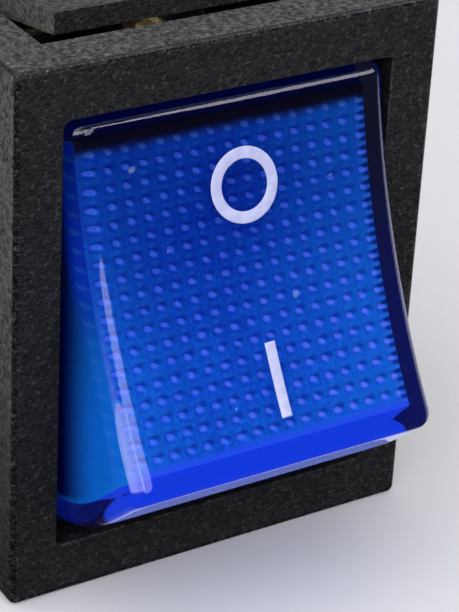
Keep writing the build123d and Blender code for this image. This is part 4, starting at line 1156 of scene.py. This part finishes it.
# %% Floor
FLOOR_HALF = 3.0
floor_z = cad_box[0][2]
floor_points = np.array([[-1, -1], [1, -1], [1, 1], [-1, 1]]) * FLOOR_HALF
floor_points = np.concatenate([floor_points, np.full((4, 1), floor_z)], axis=1)
floor = make_object("floor", floor_points, [[0, 1, 2, 3]])
floor_material = bpy.data.materials.new("floor_pale")
floor_material.use_nodes = True
floor_material.node_tree.nodes["Principled BSDF"].inputs["Base Color"].default_value = (0.52, 0.52, 0.53, 1)
floor_material.node_tree.nodes["Principled BSDF"].inputs["Roughness"].default_value = 0.6
floor.data.materials.append(floor_material)
floor.visible_glossy = False
floor.visible_transmission = False

# %% [markdown]
# A low camera looks over the floor's far edge. A pale ring wall stands before that edge, seen by the
# camera alone, so every side has a plain background and the light on the switch stays as it is. It
# is closer than two and a half metres, because the other views' cameras see no further.

# %% Backdrop
WALL_STEPS = 48
WALL_RADIUS = 2.0
WALL_LOW = -0.5
WALL_TOP = 2.0
turn = np.linspace(0.0, 2 * pi, WALL_STEPS, endpoint=False)
ring = np.stack([np.cos(turn), np.sin(turn)], axis=1) * WALL_RADIUS
wall_points = np.concatenate([np.column_stack([ring, np.full(WALL_STEPS, level)])
                              for level in (WALL_LOW, WALL_TOP)])
here = np.arange(WALL_STEPS)
after = (here + 1) % WALL_STEPS
wall_faces = np.column_stack([after, here, here + WALL_STEPS, after + WALL_STEPS])
backdrop = make_object("backdrop", wall_points, wall_faces.tolist())
backdrop_material = bpy.data.materials.new("backdrop_pale")
backdrop_material.use_nodes = True
backdrop_shader = backdrop_material.node_tree.nodes["Principled BSDF"]
backdrop_shader.inputs["Base Color"].default_value = (0.0, 0.0, 0.0, 1)
backdrop_shader.inputs["Roughness"].default_value = 1.0
backdrop_shader.inputs["Specular IOR Level"].default_value = 0.0
backdrop_shader.inputs["Emission Color"].default_value = (0.56, 0.56, 0.59, 1)
backdrop_shader.inputs["Emission Strength"].default_value = 1.0
backdrop_material.cycles.emission_sampling = "NONE"
backdrop.data.materials.append(backdrop_material)
backdrop.visible_diffuse = False
backdrop.visible_glossy = False
backdrop.visible_transmission = False
backdrop.visible_shadow = False
print("backdrop", len(wall_points), "points")

# %% Sky
world = bpy.context.scene.world or bpy.data.worlds.new("studio")
bpy.context.scene.world = world
world.use_nodes = True
sky = Tree(world.node_tree)
for old in list(world.node_tree.nodes):
    world.node_tree.nodes.remove(old)
direction = sky.add("ShaderNodeTexCoord").outputs["Generated"]


def toward(way):
    """How far a sky direction points the given way, from -1 to 1."""
    node = sky.add("ShaderNodeVectorMath", {"operation": "DOT_PRODUCT"}, i0=direction)
    node.inputs[1].default_value = Vector(way).normalized()
    return node.outputs["Value"]


UPPER_LEFT = (-0.50, -0.30, 0.81)
FRONT_GAP = (0.48, -0.85, 0.10)
UNDER_GLOW = (0.48, 0.62, -0.62)
RIGHT_GLOW = (0.93, 0.10, -0.20)
height = sky.add("ShaderNodeSeparateXYZ", Vector=direction).outputs[2]
bright = sky.maths("MULTIPLY", sky.ramp(toward(UPPER_LEFT), -0.1, 0.95), sky.ramp(height, 0.08, 0.45))
shown = sky.mix(bright, (0.05, 0.05, 0.055, 1), (2.3, 2.3, 2.35, 1))
gap = sky.ramp(toward(FRONT_GAP), 0.35, 0.85)
shown = sky.mix(gap, shown, (0.02, 0.02, 0.025, 1))
glow = sky.ramp(toward(UNDER_GLOW), 0.86, 0.97)
shown = sky.mix(glow, shown, (0.7, 0.7, 0.8, 1))
glow = sky.ramp(toward(RIGHT_GLOW), 0.86, 0.97)
shown = sky.mix(glow, shown, (1.1, 1.1, 1.2, 1))
back = sky.add("ShaderNodeBackground", Color=shown, Strength=1.0)
sky.add("ShaderNodeOutputWorld", Surface=back.outputs[0])


# %% Lamps
def panel(name, azimuth, elevation, width, height, radiance, roll=0.0, distance=0.35):
    """Soft panel in a direction given in degrees, of an angular size in degrees, facing the
    switch; its power is radiance times area times pi, so its brightness is plain."""
    way = Vector((cos(radians(elevation)) * cos(radians(azimuth)),
                  cos(radians(elevation)) * sin(radians(azimuth)), sin(radians(elevation))))
    data = bpy.data.lights.new(name, "AREA")
    data.shape = "RECTANGLE"
    data.size = 2 * distance * tan(radians(width / 2))
    data.size_y = 2 * distance * tan(radians(height / 2))
    data.energy = radiance * data.size * data.size_y * pi
    lamp = bpy.data.objects.new(name, data)
    bpy.context.scene.collection.objects.link(lamp)
    lamp.location = way * distance
    aim = (-way).to_track_quat("-Z", "Y") @ Quaternion((0, 0, 1), radians(roll))
    lamp.rotation_euler = aim.to_euler()
    lamp.visible_transmission = False
    print(name, [round(v, 3) for v in lamp.location], round(data.energy, 2), "W")
    return lamp


panel("panel_left", -120, 29, 90, 20, 3.6, roll=13)
nose_lamp = panel("panel_nose", -41.5, 35, 29, 16, 5.6)
nose_lamp.data.color = (0.92, 0.90, 1.0)
strip_lamp = panel("panel_strip", -71.9, 24, 13, 32, 3.6, roll=-14)
strip_lamp.data.color = (0.86, 0.86, 1.0)

# %% Camera
CAMERA_PLACE = Vector((-0.061406, -0.098475, 0.062208))
CAMERA_TARGET = Vector((0.001190, -0.001438, -0.001029))
CAMERA_ROLL = radians(3.22)
camera_data = bpy.data.cameras.new("camera")
camera_data.lens = 144
camera_data.sensor_fit = "VERTICAL"
camera_data.sensor_height = 36
camera_data.clip_start = 0.005
camera = bpy.data.objects.new("camera", camera_data)
bpy.context.scene.collection.objects.link(camera)
camera.location = CAMERA_PLACE
camera.rotation_mode = "QUATERNION"
aim = (CAMERA_TARGET - CAMERA_PLACE).to_track_quat("-Z", "Y")
camera.rotation_quaternion = aim @ Quaternion((0, 0, 1), CAMERA_ROLL)
bpy.context.scene.camera = camera
bpy.context.scene.view_settings.view_transform = "Standard"
print("camera distance", round((CAMERA_TARGET - CAMERA_PLACE).length / MM, 2), "mm")
